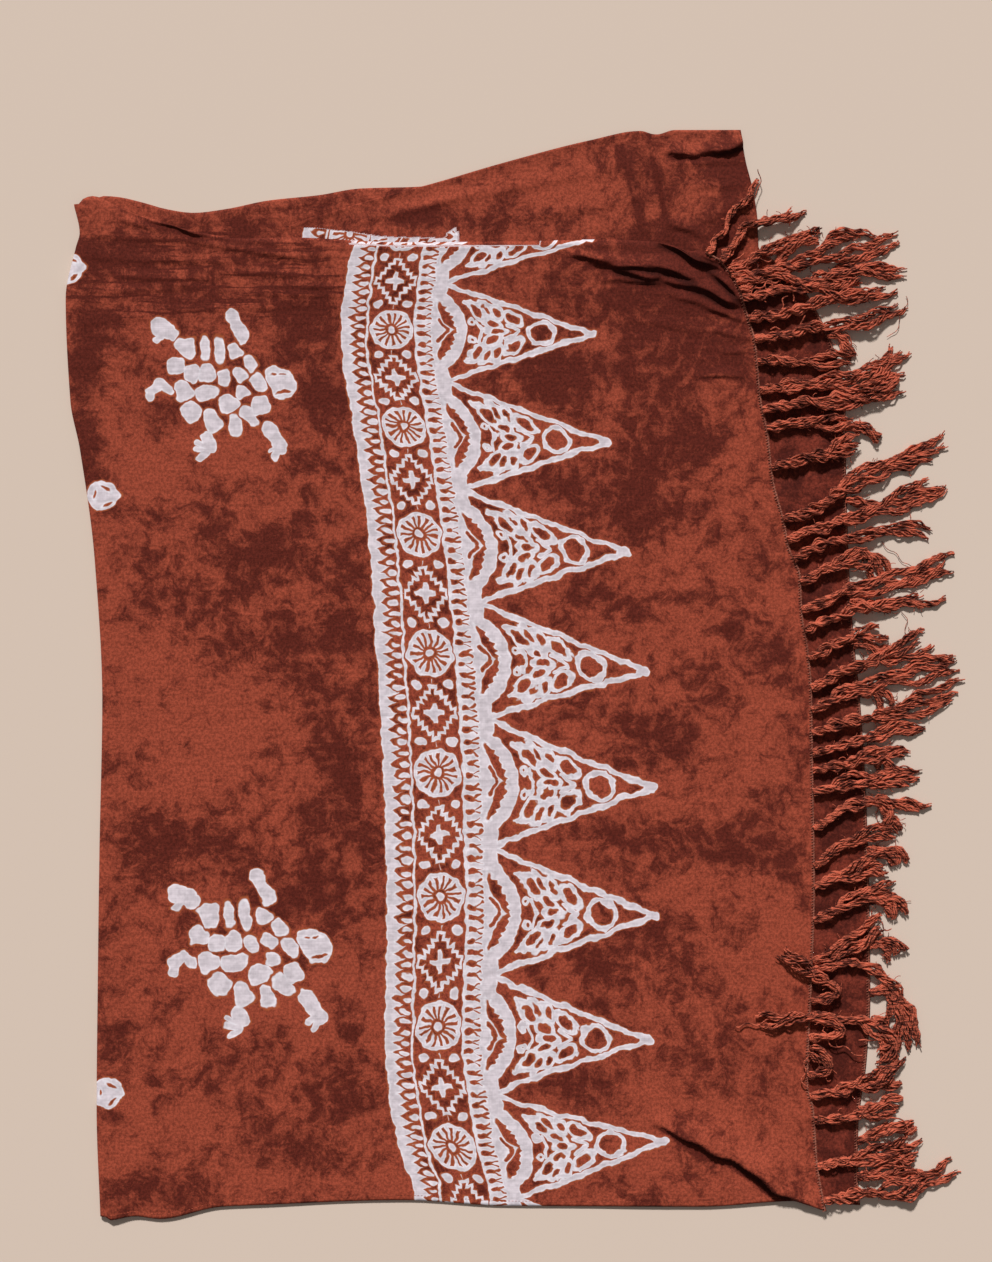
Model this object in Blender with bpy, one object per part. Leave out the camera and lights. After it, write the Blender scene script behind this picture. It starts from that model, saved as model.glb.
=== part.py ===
"""Batik sarong: one cut of crumple-dyed rayon, folded in half and laid flat.

+X runs from the fold towards the fringed ends, +Y runs up the cloth's width and +Z is up.
The underside rests on Z = 0, and the origin lies under the middle of the whole part.
Plan sizes in the tables are millimetres on the laid cloth, from the fold's lower corner:
u is across, away from the fold, and v is along it.
"""

import bisect
import math
from collections import namedtuple

import bmesh
import bpy
from mathutils import Vector

MM = 0.001
MIDDLE_U = 450.9
MIDDLE_V = 578.6
CLOTH = 1.2
GAP = 0.3
HEM_STRIP = 5.0
STRIP_GAP = 0.5

# Heights of the underside of each ply.
BACK_BASE = 0.0
FLAP_BASE = BACK_BASE + CLOTH + GAP
FRONT_BASE = BACK_BASE + CLOTH + GAP
FRONT_ON_FLAP = FLAP_BASE + CLOTH + GAP


def table(columns, *rows):
    """Rows of a short table, each with its columns by name."""
    row_type = namedtuple("Row", columns)
    return [row_type(*row) for row in rows]


# The cloth's outline, edge by edge.
FOLD = table(
    "v u",
    (0, 1), (115, -3), (230, -2), (390, 0), (550, 3), (700, -5),
    (820, -21), (870, -31), (980, -36), (1035, -25), (1050, -21), (1080, -27),
)
FRONT_BOTTOM = table(
    "u v",
    (1, 0), (8, -4), (38, 0), (65, -3), (130, 10), (175, 12),
    (324, 17), (429, 11), (642, 10), (741, 16), (776, 6),
)
FRONT_TOP = table(
    "u v",
    (-27, 1080), (-7, 1089), (25, 1076), (46, 1068), (78, 1060), (111, 1050), (149, 1044),
    (203, 1045), (321, 1040), (449, 1041), (535, 1043), (599, 1040), (642, 1030),
)
FRONT_END = table(
    "v u",
    (6, 776), (58, 768), (114, 764), (139, 758), (275, 763), (349, 765), (490, 763),
    (561, 762), (606, 758), (642, 752), (683, 750), (714, 738), (740, 733), (786, 721),
    (837, 715), (871, 708), (932, 702), (967, 692), (989, 684), (1017, 666), (1030, 642),
)
BACK_BOTTOM = table(
    "u v",
    (4, 5), (38, 4), (65, 3), (130, 14), (175, 16), (324, 20),
    (429, 15), (642, 14), (741, 19), (786, 13), (813, 11),
)
BACK_TOP = table(
    "u v",
    (-24, 1073), (19, 1087), (46, 1080), (71, 1074), (100, 1072), (135, 1076), (179, 1085),
    (235, 1091), (278, 1098), (342, 1100), (428, 1121), (524, 1146), (578, 1156),
    (594, 1152), (615, 1157), (682, 1157),
)
BACK_END = table(
    "v u",
    (11, 813), (43, 811), (90, 811), (166, 820), (233, 824), (337, 823), (456, 819),
    (551, 813), (610, 807), (660, 803), (722, 800), (804, 798), (872, 797), (910, 790),
    (942, 779), (968, 766), (995, 749), (1020, 722), (1036, 704), (1060, 701),
    (1097, 695), (1129, 687), (1157, 682),
)
FLAP_LEFT = table("v u", (1024, 190), (1050, 190))
FLAP_BOTTOM = table("u v", (190, 1024), (440, 1015), (600, 1010), (705, 1010))
FLAP_TOP = table(
    "u v",
    (190, 1050), (214, 1062), (246, 1072), (310, 1091), (353, 1102), (428, 1124),
    (524, 1149), (578, 1159), (594, 1155), (615, 1160), (685, 1160),
)
FLAP_END = table("v u", (1010, 705), (1038, 704), (1065, 703), (1097, 698), (1129, 690), (1160, 685))

# Ridges pressed up in the cloth: a line from one end to the other, its height, and its
# half widths on the side below the line and on the side above it.
CREASE_COLUMNS = "u0 v0 u1 v1 height below above"
FRONT_CREASES = table(
    CREASE_COLUMNS,
    (-12, 1074, 110, 1044, 4.5, 8, 9),
    (-15, 1020, 150, 1018, 3.0, 9, 8),
    (-20, 1000, 110, 996, 2.4, 8, 8),
    (60, 1034, 240, 1028, 3.0, 8, 8),
    (110, 1008, 250, 1003, 2.4, 8, 9),
    (-25, 975, 90, 981, 2.0, 9, 10),
    (500, 1028, 610, 1018, 4.5, 7, 8),
    (555, 1012, 645, 1002, 7.0, 8, 10),
    (600, 996, 675, 974, 5.5, 9, 9),
    (640, 976, 690, 958, 3.5, 8, 8),
    (600, 97, 900, -65, 5.0, 8, 42),
)
FLAP_CREASES = table(
    CREASE_COLUMNS,
    (578, 1172, 600, 1046, 4.0, 10, 12),
    (596, 1160, 614, 1050, 2.5, 8, 6),
    (630, 1129, 705, 1142, 3.0, 5, 10),
    (360, 1080, 560, 1128, 1.2, 14, 16),
)

# Distance in from the fold and height of the underside, where the front layer wraps down
# round the back layer's edge.
FOLD_WRAP = table("inset height", (1.2, 0.0), (1.3, 2.1), (3.4, 4.0), (9.0, 4.7))
FOLD_PUFF = 3.1
FOLD_CREST = 9.0
FOLD_WIDTH = 22.0
BACK_INSET = 4.0
BACK_LEFT_LOW = 5.0
BACK_LEFT_HIGH = 1073.0
ROLL_HEIGHT = 3.2
ROLL_RISE = 3.0
ROLL_WIDTH = 40.0
RIPPLE = 0.6

# Grid lines as bands: the fraction where a band ends and the number of cells in it.
BAND_COLUMNS = "upto cells"
FRONT_ACROSS = table(BAND_COLUMNS, (0.027, 1), (0.08, 2), (0.32, 6), (0.66, 7), (1.0, 12))
FRONT_ALONG = table(BAND_COLUMNS, (0.1, 6), (0.8, 11), (0.9, 3), (0.985, 9), (1.0, 2))
BACK_ACROSS = table(BAND_COLUMNS, (0.1, 2), (0.9, 8), (1.0, 2))
BACK_ALONG = table(BAND_COLUMNS, (0.85, 15), (1.0, 7))
FLAP_ACROSS = table(BAND_COLUMNS, (0.4, 4), (0.72, 3), (0.9, 6), (1.0, 2))
FLAP_ALONG = table(BAND_COLUMNS, (1.0, 6))

# Tassels: where each is knotted to the cloth's edge, the height that it lies at, three
# points that it passes or ends at, and its number of locks.
TASSEL_COLUMNS = "root level u1 v1 u2 v2 u3 v3 locks"
OVER_BACK = 3.4
OVER_FRONT = 5.6
ON_FLOOR = 0.5
FRONT_TASSELS = table(
    TASSEL_COLUMNS,
    (18, OVER_BACK, 813, 24, 867, 32, 921, 56, 3),
    (54, OVER_BACK, 803, 61, 845, 70, 883, 82, 3),
    (103, OVER_BACK, 797, 106, 826, 112, 859, 118, 2),
    (150, OVER_FRONT, 777, 159, 768, 174, 747, 179, 2),
    (190, OVER_FRONT, 790, 200, 757, 213, 681, 209, 2),
    (230, OVER_FRONT, 786, 240, 764, 260, 725, 284, 2),
    (273, OVER_BACK, 794, 286, 819, 300, 845, 318, 3),
    (316, OVER_BACK, 797, 332, 826, 346, 852, 348, 3),
    (352, OVER_BACK, 797, 366, 829, 377, 852, 371, 3),
    (374, OVER_BACK, 797, 397, 829, 411, 862, 407, 2),
    (414, OVER_BACK, 800, 437, 840, 443, 891, 433, 2),
    (453, OVER_BACK, 797, 463, 835, 467, 880, 468, 3),
    (476, OVER_BACK, 803, 485, 840, 495, 878, 493, 2),
    (494, OVER_BACK, 803, 507, 845, 517, 902, 525, 2),
    (516, OVER_BACK, 803, 529, 856, 540, 936, 568, 3),
    (540, OVER_BACK, 797, 559, 845, 573, 919, 594, 3),
    (564, OVER_BACK, 792, 580, 835, 596, 899, 622, 3),
    (596, OVER_BACK, 790, 612, 818, 622, 843, 626, 2),
    (626, OVER_BACK, 792, 642, 845, 654, 907, 663, 2),
    (647, OVER_BACK, 792, 664, 845, 678, 921, 699, 3),
    (677, OVER_BACK, 781, 692, 811, 702, 832, 708, 3),
    (702, OVER_BACK, 781, 719, 845, 733, 897, 727, 2),
    (722, OVER_BACK, 781, 739, 835, 756, 910, 786, 3),
    (744, OVER_BACK, 768, 757, 815, 789, 910, 826, 3),
    (799, OVER_BACK, 749, 808, 790, 818, 822, 831, 3),
    (842, OVER_BACK, 749, 846, 790, 848, 816, 848, 2),
    (861, OVER_BACK, 760, 868, 813, 874, 878, 896, 3),
    (882, OVER_BACK, 760, 889, 820, 896, 865, 936, 3),
    (912, OVER_BACK, 749, 913, 783, 913, 812, 918, 2),
    (936, OVER_BACK, 749, 945, 803, 953, 869, 976, 2),
    (958, OVER_BACK, 738, 966, 792, 980, 861, 992, 2),
    (980, OVER_BACK, 745, 991, 815, 1008, 880, 1006, 3),
    (996, OVER_BACK, 738, 1013, 822, 1031, 859, 1052, 2),
    (1008, OVER_BACK, 712, 1030, 747, 1041, 775, 1042, 2),
    (1018, OVER_BACK, 687, 1051, 722, 1063, 758, 1080, 2),
    (1026, OVER_BACK, 666, 1058, 691, 1084, 712, 1110, 1),
)
BACK_TASSELS = table(
    TASSEL_COLUMNS,
    (43, ON_FLOOR, 833, 44, 856, 50, 880, 57, 3),
    (80, ON_FLOOR, 829, 88, 854, 97, 880, 99, 2),
    (114, ON_FLOOR, 830, 118, 843, 123, 858, 118, 2),
    (139, ON_FLOOR, 834, 143, 844, 144, 855, 149, 2),
    (206, ON_FLOOR, 836, 210, 845, 192, 840, 164, 2),
    (238, ON_FLOOR, 842, 242, 861, 220, 862, 172, 3),
    (289, ON_FLOOR, 836, 291, 846, 288, 852, 277, 3),
    (337, ON_FLOOR, 838, 338, 848, 332, 852, 316, 3),
    (391, ON_FLOOR, 838, 391, 848, 386, 855, 371, 3),
    (444, ON_FLOOR, 834, 441, 842, 429, 844, 408, 3),
    (498, ON_FLOOR, 830, 496, 838, 487, 841, 470, 3),
    (556, ON_FLOOR, 828, 558, 838, 551, 846, 536, 2),
    (610, ON_FLOOR, 824, 608, 834, 604, 850, 604, 2),
    (658, ON_FLOOR, 822, 655, 838, 650, 856, 643, 2),
    (706, ON_FLOOR, 819, 706, 831, 698, 837, 680, 3),
    (765, ON_FLOOR, 813, 762, 824, 757, 842, 754, 2),
    (842, ON_FLOOR, 815, 841, 826, 836, 840, 829, 2),
    (872, ON_FLOOR, 817, 876, 833, 887, 847, 906, 3),
    (942, ON_FLOOR, 794, 938, 801, 927, 807, 914, 2),
    (995, ON_FLOOR, 776, 1002, 797, 1007, 824, 1005, 3),
    (1018, ON_FLOOR, 738, 1033, 755, 1045, 779, 1050, 2),
)
ROOT_WIDTH = 3.6
LOCK_HEIGHT = 2.2
LOCK_SECTIONS = 4
RISE_LENGTH = 14.0
# Where the back fringe ends: past it the front fringe comes down to the floor.
BACK_REACH = table(
    "v u",
    (0, 888), (70, 888), (110, 868), (240, 870), (330, 860), (450, 856), (600, 862), (700, 850),
    (850, 848), (930, 852), (1005, 834), (1050, 790), (1090, 730), (1120, 712),
)
DROP_LENGTH = 30.0
DROP_HEIGHT = 0.6
# Fraction of a tassel's length, and the width and spacing of its locks there.
LOCK_SHAPE = table("at width pitch", (0.0, 3.6, 3.6), (0.25, 3.0, 3.7), (0.6, 3.4, 4.4), (1.0, 1.6, 4.6))

# Each stretch of fringe is one piece: its ends on the cloth's edge.
FRINGE_COLUMNS = "name low high"
FRONT_FRINGES = table(
    FRINGE_COLUMNS,
    ("front_fringe_bottom", 7, 335),
    ("front_fringe_middle", 335.3, 690),
    ("front_fringe_top", 690.3, 1029.6),
)
BACK_FRINGES = table(
    FRINGE_COLUMNS,
    ("back_fringe_bottom", 12, 315),
    ("back_fringe_middle", 315.3, 685),
    ("back_fringe_top", 685.3, 1030),
)

# Colour and roughness of each ply and of the yarn.
DYED_CLOTH = (0.20, 0.038, 0.021, 1.0)
SHADED_CLOTH = (0.13, 0.022, 0.013, 1.0)
YARN = (0.16, 0.032, 0.019, 1.0)


def smoothstep(value):
    value = min(max(value, 0.0), 1.0)
    return value * value * (3.0 - 2.0 * value)


def read(rows, at, column=1):
    """Smooth value of a column, with no overshoot, where the first column is at."""
    places = [row[0] for row in rows]
    values = [row[column] for row in rows]
    at = min(max(at, places[0]), places[-1])
    low = min(bisect.bisect_right(places, at), len(rows) - 1) - 1
    steps = [(values[k + 1] - values[k]) / (places[k + 1] - places[k]) for k in range(len(rows) - 1)]

    def slope(k):
        before = steps[max(k - 1, 0)]
        after = steps[min(k, len(steps) - 1)]
        if before * after <= 0.0:
            return 0.0
        return 2.0 * before * after / (before + after)

    span = places[low + 1] - places[low]
    f = (at - places[low]) / span
    rise = values[low + 1] - values[low]
    near = slope(low) * span - rise
    far = rise - slope(low + 1) * span
    return values[low] + rise * f + f * (1.0 - f) * (near * (1.0 - f) + far * f)


def bands(rows, start=0.0):
    """Fractions of the grid lines that a band table describes."""
    lines = [start]
    for row in rows:
        low = lines[-1]
        lines += [low + (row.upto - low) * k / row.cells for k in range(1, row.cells + 1)]
    return lines


def moved_in(rows, amount):
    """An end edge, moved back towards the fold."""
    return table("v u", *[(row.v, row.u - amount) for row in rows])


Panel = namedtuple("Panel", "left right bottom top")


def on_panel(panel, s, t):
    """Plan point inside four edges, at the fraction s across and t up."""
    def side(rows, fraction):
        v = rows[0].v + (rows[-1].v - rows[0].v) * fraction
        return Vector((read(rows, v), v))

    corners = [side(panel.left, 0.0), side(panel.right, 0.0), side(panel.left, 1.0), side(panel.right, 1.0)]

    def end(rows, first, last, fraction):
        u = first.x + (last.x - first.x) * fraction
        return Vector((u, read(rows, u)))

    low = end(panel.bottom, corners[0], corners[1], s)
    high = end(panel.top, corners[2], corners[3], s)
    near = side(panel.left, t)
    far = side(panel.right, t)
    mixed = (corners[0] * (1 - s) + corners[1] * s) * (1 - t) + (corners[2] * (1 - s) + corners[3] * s) * t
    return low * (1 - t) + high * t + near * (1 - s) + far * s - mixed


def crease_height(creases, u, v):
    """Height that the ridges of a table add at a point."""
    total = 0.0
    for crease in creases:
        start = Vector((crease.u0, crease.v0))
        line = Vector((crease.u1, crease.v1)) - start
        offset = Vector((u, v)) - start
        along = offset.dot(line) / line.length_squared
        if 0.0 < along < 1.0:
            aside = (line.x * offset.y - line.y * offset.x) / line.length
            width = crease.above if aside > 0.0 else crease.below
            total += crease.height * math.sin(math.pi * along) ** 0.7 * math.exp(-((aside / width) ** 2))
    return total


def front_lift(u, v):
    """Height of the front layer's underside."""
    on_flap = smoothstep((v - 955.0) / 40.0) * smoothstep((u - 150.0) / 35.0)
    base = FRONT_BASE + (FRONT_ON_FLAP - FRONT_BASE) * on_flap
    from_fold = u - read(FOLD, v)
    puff = FOLD_PUFF * math.exp(-(((from_fold - FOLD_CREST) / FOLD_WIDTH) ** 2))
    from_top = max(read(FRONT_TOP, u) - v, 0.0)
    roll = ROLL_HEIGHT * (1.0 - math.exp(-from_top / ROLL_RISE)) * math.exp(-from_top / ROLL_WIDTH)
    ripple = RIPPLE * (1.0 + math.sin(u / 95.0 + 0.6) * math.sin(v / 140.0 + 1.1))
    from_end = read(FRONT_END, v) - u
    ripple *= smoothstep(from_end / 60.0)
    return base + puff + roll + ripple + crease_height(FRONT_CREASES, u, v)


def flap_lift(u, v):
    """Height of the turned flap's underside, flat where the front layer lies on it."""
    clear = smoothstep((v - read(FRONT_TOP, u) - 3.0) / 18.0)
    return FLAP_BASE + clear * crease_height(FLAP_CREASES, u, v)


def back_lift(u, v):
    return BACK_BASE


def sheet_points(panel, across, along, lift, wrap=()):
    """Underside points of a cloth wall, by grid column and row, in millimetres."""
    columns = []
    for row in wrap:
        column = []
        for t in along:
            edge = on_panel(panel, 0.0, t)
            column.append(Vector((edge.x + row.inset, edge.y, row.height)))
        columns.append(column)
    for s in across:
        column = []
        for t in along:
            spot = on_panel(panel, s, t)
            column.append(Vector((spot.x, spot.y, lift(spot.x, spot.y))))
        columns.append(column)
    return columns


def outer_point(columns, i, j):
    """The point on the cloth's upper face that lies over an underside point.

    At the end column it lies straight above, so the wall ends flush with its hem strip.
    """
    if i == len(columns) - 1:
        return columns[i][j] + Vector((0.0, 0.0, CLOTH))
    left = columns[max(i - 1, 0)][j]
    right = columns[min(i + 1, len(columns) - 1)][j]
    below = columns[i][max(j - 1, 0)]
    above = columns[i][min(j + 1, len(columns[i]) - 1)]
    normal = (right - left).cross(above - below).normalized()
    point = columns[i][j] + normal * CLOTH
    point.z = max(point.z, 0.0)
    return point


def placed(point):
    """A point in the tables' millimetres, moved to the part's frame."""
    return Vector((point.x - MIDDLE_U, point.y - MIDDLE_V, point.z)) * MM


def cloth_wall(columns):
    """Closed wall of even thickness over a grid of underside points."""
    bm = bmesh.new()
    grid = [[bm.verts.new(placed(point)) for point in column] for column in columns]
    over = {}
    for i, column in enumerate(grid):
        for j, vert in enumerate(column):
            over[tuple(vert.co)] = placed(outer_point(columns, i, j))
    for i in range(len(grid) - 1):
        for j in range(len(grid[0]) - 1):
            bm.faces.new((grid[i][j], grid[i + 1][j], grid[i + 1][j + 1], grid[i][j + 1]))
    bmesh.ops.triangulate(bm, faces=bm.faces[:])
    raised = bmesh.ops.extrude_face_region(bm, geom=bm.faces[:], use_keep_orig=True)
    for vert in raised["geom"]:
        if isinstance(vert, bmesh.types.BMVert):
            vert.co = over[tuple(vert.co)]
    bmesh.ops.recalc_face_normals(bm, faces=bm.faces[:])
    return bm


def edge_at(edge, v):
    """Point on a wall's end edge, which runs straight between its grid rows."""
    places = [point.y for point in edge]
    high = min(max(bisect.bisect_right(places, v), 1), len(edge) - 1)
    low = high - 1
    f = (v - places[low]) / (places[high] - places[low])
    return edge[low].lerp(edge[high], f)


def nearest_corner(vert, corners):
    """Index of the corner that a vertex lies on."""
    return min(range(len(corners)), key=lambda k: (vert.co - corners[k]).length)


def pulled_out(bm, face, old, new, keep=False):
    """Extrude a four-cornered face from its old corners to new ones."""
    result = bmesh.ops.extrude_face_region(bm, geom=[face])
    end_face = next(item for item in result["geom"] if isinstance(item, bmesh.types.BMFace))
    if not keep:
        bmesh.ops.delete(bm, geom=[face], context="FACES_ONLY")
    targets = [new[nearest_corner(vert, old)] for vert in end_face.verts]
    for vert, target in zip(end_face.verts, targets):
        vert.co = target
    return end_face


def strip_section(edge, v):
    """Four corners of the hem strip: inner low, outer low, outer high and inner high."""
    base = edge_at(edge, v)
    low, high = STRIP_GAP, STRIP_GAP + HEM_STRIP
    offsets = ((low, 0.0), (high, 0.0), (high, CLOTH), (low, CLOTH))
    return [placed(Vector((base.x + du, base.y, base.z + dz))) for du, dz in offsets]


def lock_stations(tassels, fringe):
    """Places of the edges of each lock's root along the strip."""
    roots = []
    for tassel in tassels:
        if fringe.low < tassel.root < fringe.high:
            first = tassel.root - ROOT_WIDTH * tassel.locks / 2.0
            for k in range(tassel.locks):
                roots.append((tassel, k, first + ROOT_WIDTH * k, first + ROOT_WIDTH * (k + 1)))
    return roots


def tassel_path(tassel, start):
    """Plan curve of a tassel, from its root through its three points."""
    points = [start, Vector((tassel.u1, tassel.v1)), Vector((tassel.u2, tassel.v2)), Vector((tassel.u3, tassel.v3))]
    lead = Vector((start.x - 12.0, start.y))
    tail = points[-1] * 2.0 - points[-2]
    through = [lead] + points + [tail]

    def at(fraction):
        place = min(fraction * 3.0, 2.9999)
        k = int(place)
        f = place - k
        a, b, c, d = through[k:k + 4]
        return 0.5 * (2 * b + (c - a) * f + (2 * a - 5 * b + 4 * c - d) * f * f + (3 * b - a - 3 * c + d) * f ** 3)

    return at


def lock_height(tassel, spot, travelled, root_height):
    """Height of a lock's underside: up from its knot, over the plies and down past them."""
    height = root_height + (tassel.level - root_height) * smoothstep(travelled / RISE_LENGTH)
    drop = smoothstep((spot.x - read(BACK_REACH, spot.y)) / DROP_LENGTH)
    if tassel.level > ON_FLOOR:
        height += (DROP_HEIGHT - height) * drop
    return height


def add_lock(bm, face, tassel, k, edge):
    """Extrude one lock of a tassel from its root face on the strip."""
    root = edge_at(edge, tassel.root)
    start = Vector((root.x + STRIP_GAP + HEM_STRIP, tassel.root))
    at = tassel_path(tassel, start)
    lane = k - (tassel.locks - 1) / 2.0
    near_end = strip_section(edge, tassel.root + ROOT_WIDTH * (lane - 0.5))
    far_end = strip_section(edge, tassel.root + ROOT_WIDTH * (lane + 0.5))
    old = [near_end[1], far_end[1], far_end[2], near_end[2]]
    travelled = 0.0
    spot = start
    for step in range(1, LOCK_SECTIONS + 1):
        fraction = step / LOCK_SECTIONS
        new_spot = at(fraction)
        travelled += (new_spot - spot).length
        spot = new_spot
        ahead = (at(min(fraction + 0.02, 1.0)) - at(fraction - 0.02)).normalized()
        side = Vector((-ahead.y, ahead.x))
        width = read(LOCK_SHAPE, fraction, 1)
        middle = spot + side * lane * read(LOCK_SHAPE, fraction, 2)
        low = lock_height(tassel, spot, travelled, root.z)
        high = low + LOCK_HEIGHT * (1.0 - 0.4 * fraction)
        near = middle - side * width / 2.0
        far = middle + side * width / 2.0
        new = [placed(Vector((p.x, p.y, z))) for p, z in ((near, low), (far, low), (far, high), (near, high))]
        face = pulled_out(bm, face, old, new)
        old = new


def fringe_piece(fringe, tassels, edge):
    """A narrow strip of the cloth's end with the locks of its tassels fused to it."""
    roots = lock_stations(tassels, fringe)
    taken = [(first, last) for _, _, first, last in roots]
    places = {fringe.low, fringe.high}
    for first, last in taken:
        places.update((round(first, 3), round(last, 3)))
    for point in edge:
        inside = any(first - 0.5 < point.y < last + 0.5 for first, last in taken)
        if fringe.low + 1.0 < point.y < fringe.high - 1.0 and not inside:
            places.add(point.y)
    places = sorted(places)

    bm = bmesh.new()
    section = strip_section(edge, places[0])
    face = bm.faces.new([bm.verts.new(corner) for corner in section])
    for v in places[1:]:
        next_section = strip_section(edge, v)
        face = pulled_out(bm, face, section, next_section, keep=v == places[1])
        section = next_section

    for tassel, k, first, last in roots:
        low = strip_section(edge, first)
        high = strip_section(edge, last)
        middle = (low[1] + low[2] + high[1] + high[2]) / 4.0
        root_face = min(bm.faces, key=lambda item: (item.calc_center_median() - middle).length)
        add_lock(bm, root_face, tassel, k, edge)
    bmesh.ops.recalc_face_normals(bm, faces=bm.faces[:])
    return bm


def finish(bm, name, color, roughness):
    """Make a named object with its own material from a finished mesh."""
    mesh = bpy.data.meshes.new(name)
    bm.to_mesh(mesh)
    bm.free()
    material = bpy.data.materials.new(name)
    material.use_nodes = True
    surface = material.node_tree.nodes["Principled BSDF"]
    surface.inputs["Base Color"].default_value = color
    surface.inputs["Roughness"].default_value = roughness
    surface.inputs["Metallic"].default_value = 0.0
    mesh.materials.append(material)
    mesh.shade_smooth()
    mesh.set_sharp_from_angle(angle=math.radians(50.0))
    piece = bpy.data.objects.new(name, mesh)
    bpy.context.scene.collection.objects.link(piece)
    return piece


for item in list(bpy.data.objects):
    bpy.data.objects.remove(item, do_unlink=True)

strip_and_gap = HEM_STRIP + STRIP_GAP
front_panel = Panel(FOLD, moved_in(FRONT_END, strip_and_gap), FRONT_BOTTOM, FRONT_TOP)
back_left_places = [BACK_LEFT_LOW] + [row.v for row in FOLD[1:-1]] + [BACK_LEFT_HIGH]
back_left = table("v u", *[(v, read(FOLD, v) + BACK_INSET) for v in back_left_places])
back_panel = Panel(back_left, moved_in(BACK_END, strip_and_gap), BACK_BOTTOM, BACK_TOP)
flap_panel = Panel(FLAP_LEFT, FLAP_END, FLAP_BOTTOM, FLAP_TOP)

front_points = sheet_points(front_panel, bands(FRONT_ACROSS)[1:], bands(FRONT_ALONG), front_lift, FOLD_WRAP)
back_points = sheet_points(back_panel, bands(BACK_ACROSS), bands(BACK_ALONG), back_lift)
flap_points = sheet_points(flap_panel, bands(FLAP_ACROSS), bands(FLAP_ALONG), flap_lift)

finish(cloth_wall(front_points), "front_layer", DYED_CLOTH, 0.8)
finish(cloth_wall(back_points), "back_layer", SHADED_CLOTH, 0.8)
finish(cloth_wall(flap_points), "top_flap", DYED_CLOTH, 0.8)

for stretch in FRONT_FRINGES:
    finish(fringe_piece(stretch, FRONT_TASSELS, front_points[-1]), stretch.name, YARN, 0.9)
for stretch in BACK_FRINGES:
    finish(fringe_piece(stretch, BACK_TASSELS, back_points[-1]), stretch.name, YARN, 0.9)
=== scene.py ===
import math
from collections import namedtuple

import bmesh
import bpy
import numpy as np
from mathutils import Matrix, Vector


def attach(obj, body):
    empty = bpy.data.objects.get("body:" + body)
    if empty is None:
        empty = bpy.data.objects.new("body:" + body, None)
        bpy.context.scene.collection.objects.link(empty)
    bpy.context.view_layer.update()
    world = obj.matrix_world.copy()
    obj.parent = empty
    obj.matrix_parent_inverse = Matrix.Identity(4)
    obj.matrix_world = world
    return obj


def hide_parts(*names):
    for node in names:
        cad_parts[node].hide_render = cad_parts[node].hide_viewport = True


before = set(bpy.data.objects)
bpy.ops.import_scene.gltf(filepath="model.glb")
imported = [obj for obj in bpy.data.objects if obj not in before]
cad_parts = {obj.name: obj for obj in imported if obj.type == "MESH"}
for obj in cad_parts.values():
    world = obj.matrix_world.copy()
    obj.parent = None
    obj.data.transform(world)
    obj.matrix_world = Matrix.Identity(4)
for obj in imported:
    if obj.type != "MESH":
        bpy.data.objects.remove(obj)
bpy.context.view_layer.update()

# Back layer: the under half of one length of crumple-dyed rayon, folded in half across.
# It lies flat on the floor and shows as a dark strip past the front layer's ends.
# Its face is underneath, so the wax-resist print on it is seen from below.
MM = 0.001
# Tables are in millimetres, u to the right and v up. This is the middle of the laid cloth.
MIDDLE_U = 450.9
MIDDLE_V = 578.6
# How far a layer's upper face lies above its base, and how thick its visible shell is.
CLOTH = 1.2
SHELL = 1.1
# How far the crest of a high fold leans over, and how folds sway and thin out along their length.
FOLD_LEAN = 0.95
LEAN_FROM = 2.0
LEAN_FADES = 40.0
FOLD_SWAYS = ((1.3, 15.0), (0.8, 6.5))
SWAY_FULL_AT = 5.0
FOLD_UNEVEN = 0.14
UNEVEN_EVERY = 11.0
# Shares of a sheet's baked square: the upper face takes most of it, the lower one a strip.
BAKE_MARGIN = 0.01
UPPER_SHARE = 0.87
LOWER_START = 0.88
LOWER_SHARE = 0.12
RIM_SPREAD = 1.015


def table(columns, *rows):
    """Rows of a short table, each with its columns by name."""
    row_type = namedtuple("Row", columns)
    return [row_type(*row) for row in rows]


FOLD = table(
    "v u",
    (0, 1), (115, -3), (230, -2), (390, 0), (550, 3), (700, -5), (820, -21), (870, -31), (980, -36),
    (1035, -25), (1050, -21), (1080, -27),
)
BACK_BOTTOM = table(
    "u v",
    (4, 5), (38, 4), (65, 3), (130, 14), (175, 16), (324, 20), (429, 15), (642, 14), (741, 19), (786, 13),
    (813, 11),
)
BACK_TOP = table(
    "u v",
    (-24, 1073), (-8, 1086), (5, 1090), (19, 1089), (46, 1083), (71, 1076), (100, 1072), (135, 1076),
    (179, 1085), (235, 1091), (278, 1098), (342, 1100), (428, 1121), (524, 1146), (578, 1156), (594, 1152),
    (615, 1157), (682, 1157),
)
BACK_END = table(
    "v u",
    (11, 813), (43, 811), (90, 811), (166, 820), (233, 824), (337, 823), (456, 819), (551, 813),
    (610, 807), (660, 803), (722, 800), (804, 798), (872, 797), (910, 790), (942, 779), (968, 766),
    (995, 749), (1020, 722), (1036, 704), (1060, 701), (1097, 695), (1129, 687), (1157, 682),
)
BACK_INSET = 4.0
BACK_LEFT_LOW = 5.0
BACK_LEFT_HIGH = 1073.0
# Painted shade: back-layer cloth that lies in shade gets darker colours and more dye, up to where the top
# margin turns its face up.
PAINTED_SHADE_AMOUNT = 0.12
FACE_UP_FROM = 1000.0
BACK_CREASES = table(
    "u0 v0 u1 v1 height below above",
    (110, 1068, 330, 1094, 1.2, 3, 4), (140, 1058, 360, 1097, 1.0, 2, 3),
    (190, 1062, 300, 1080, 0.9, 2, 3), (778, 120, 806, 330, 0.7, 3, 3), (775, 420, 800, 640, 0.7, 3, 3),
    (762, 700, 782, 860, 0.8, 3, 3),
)


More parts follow.
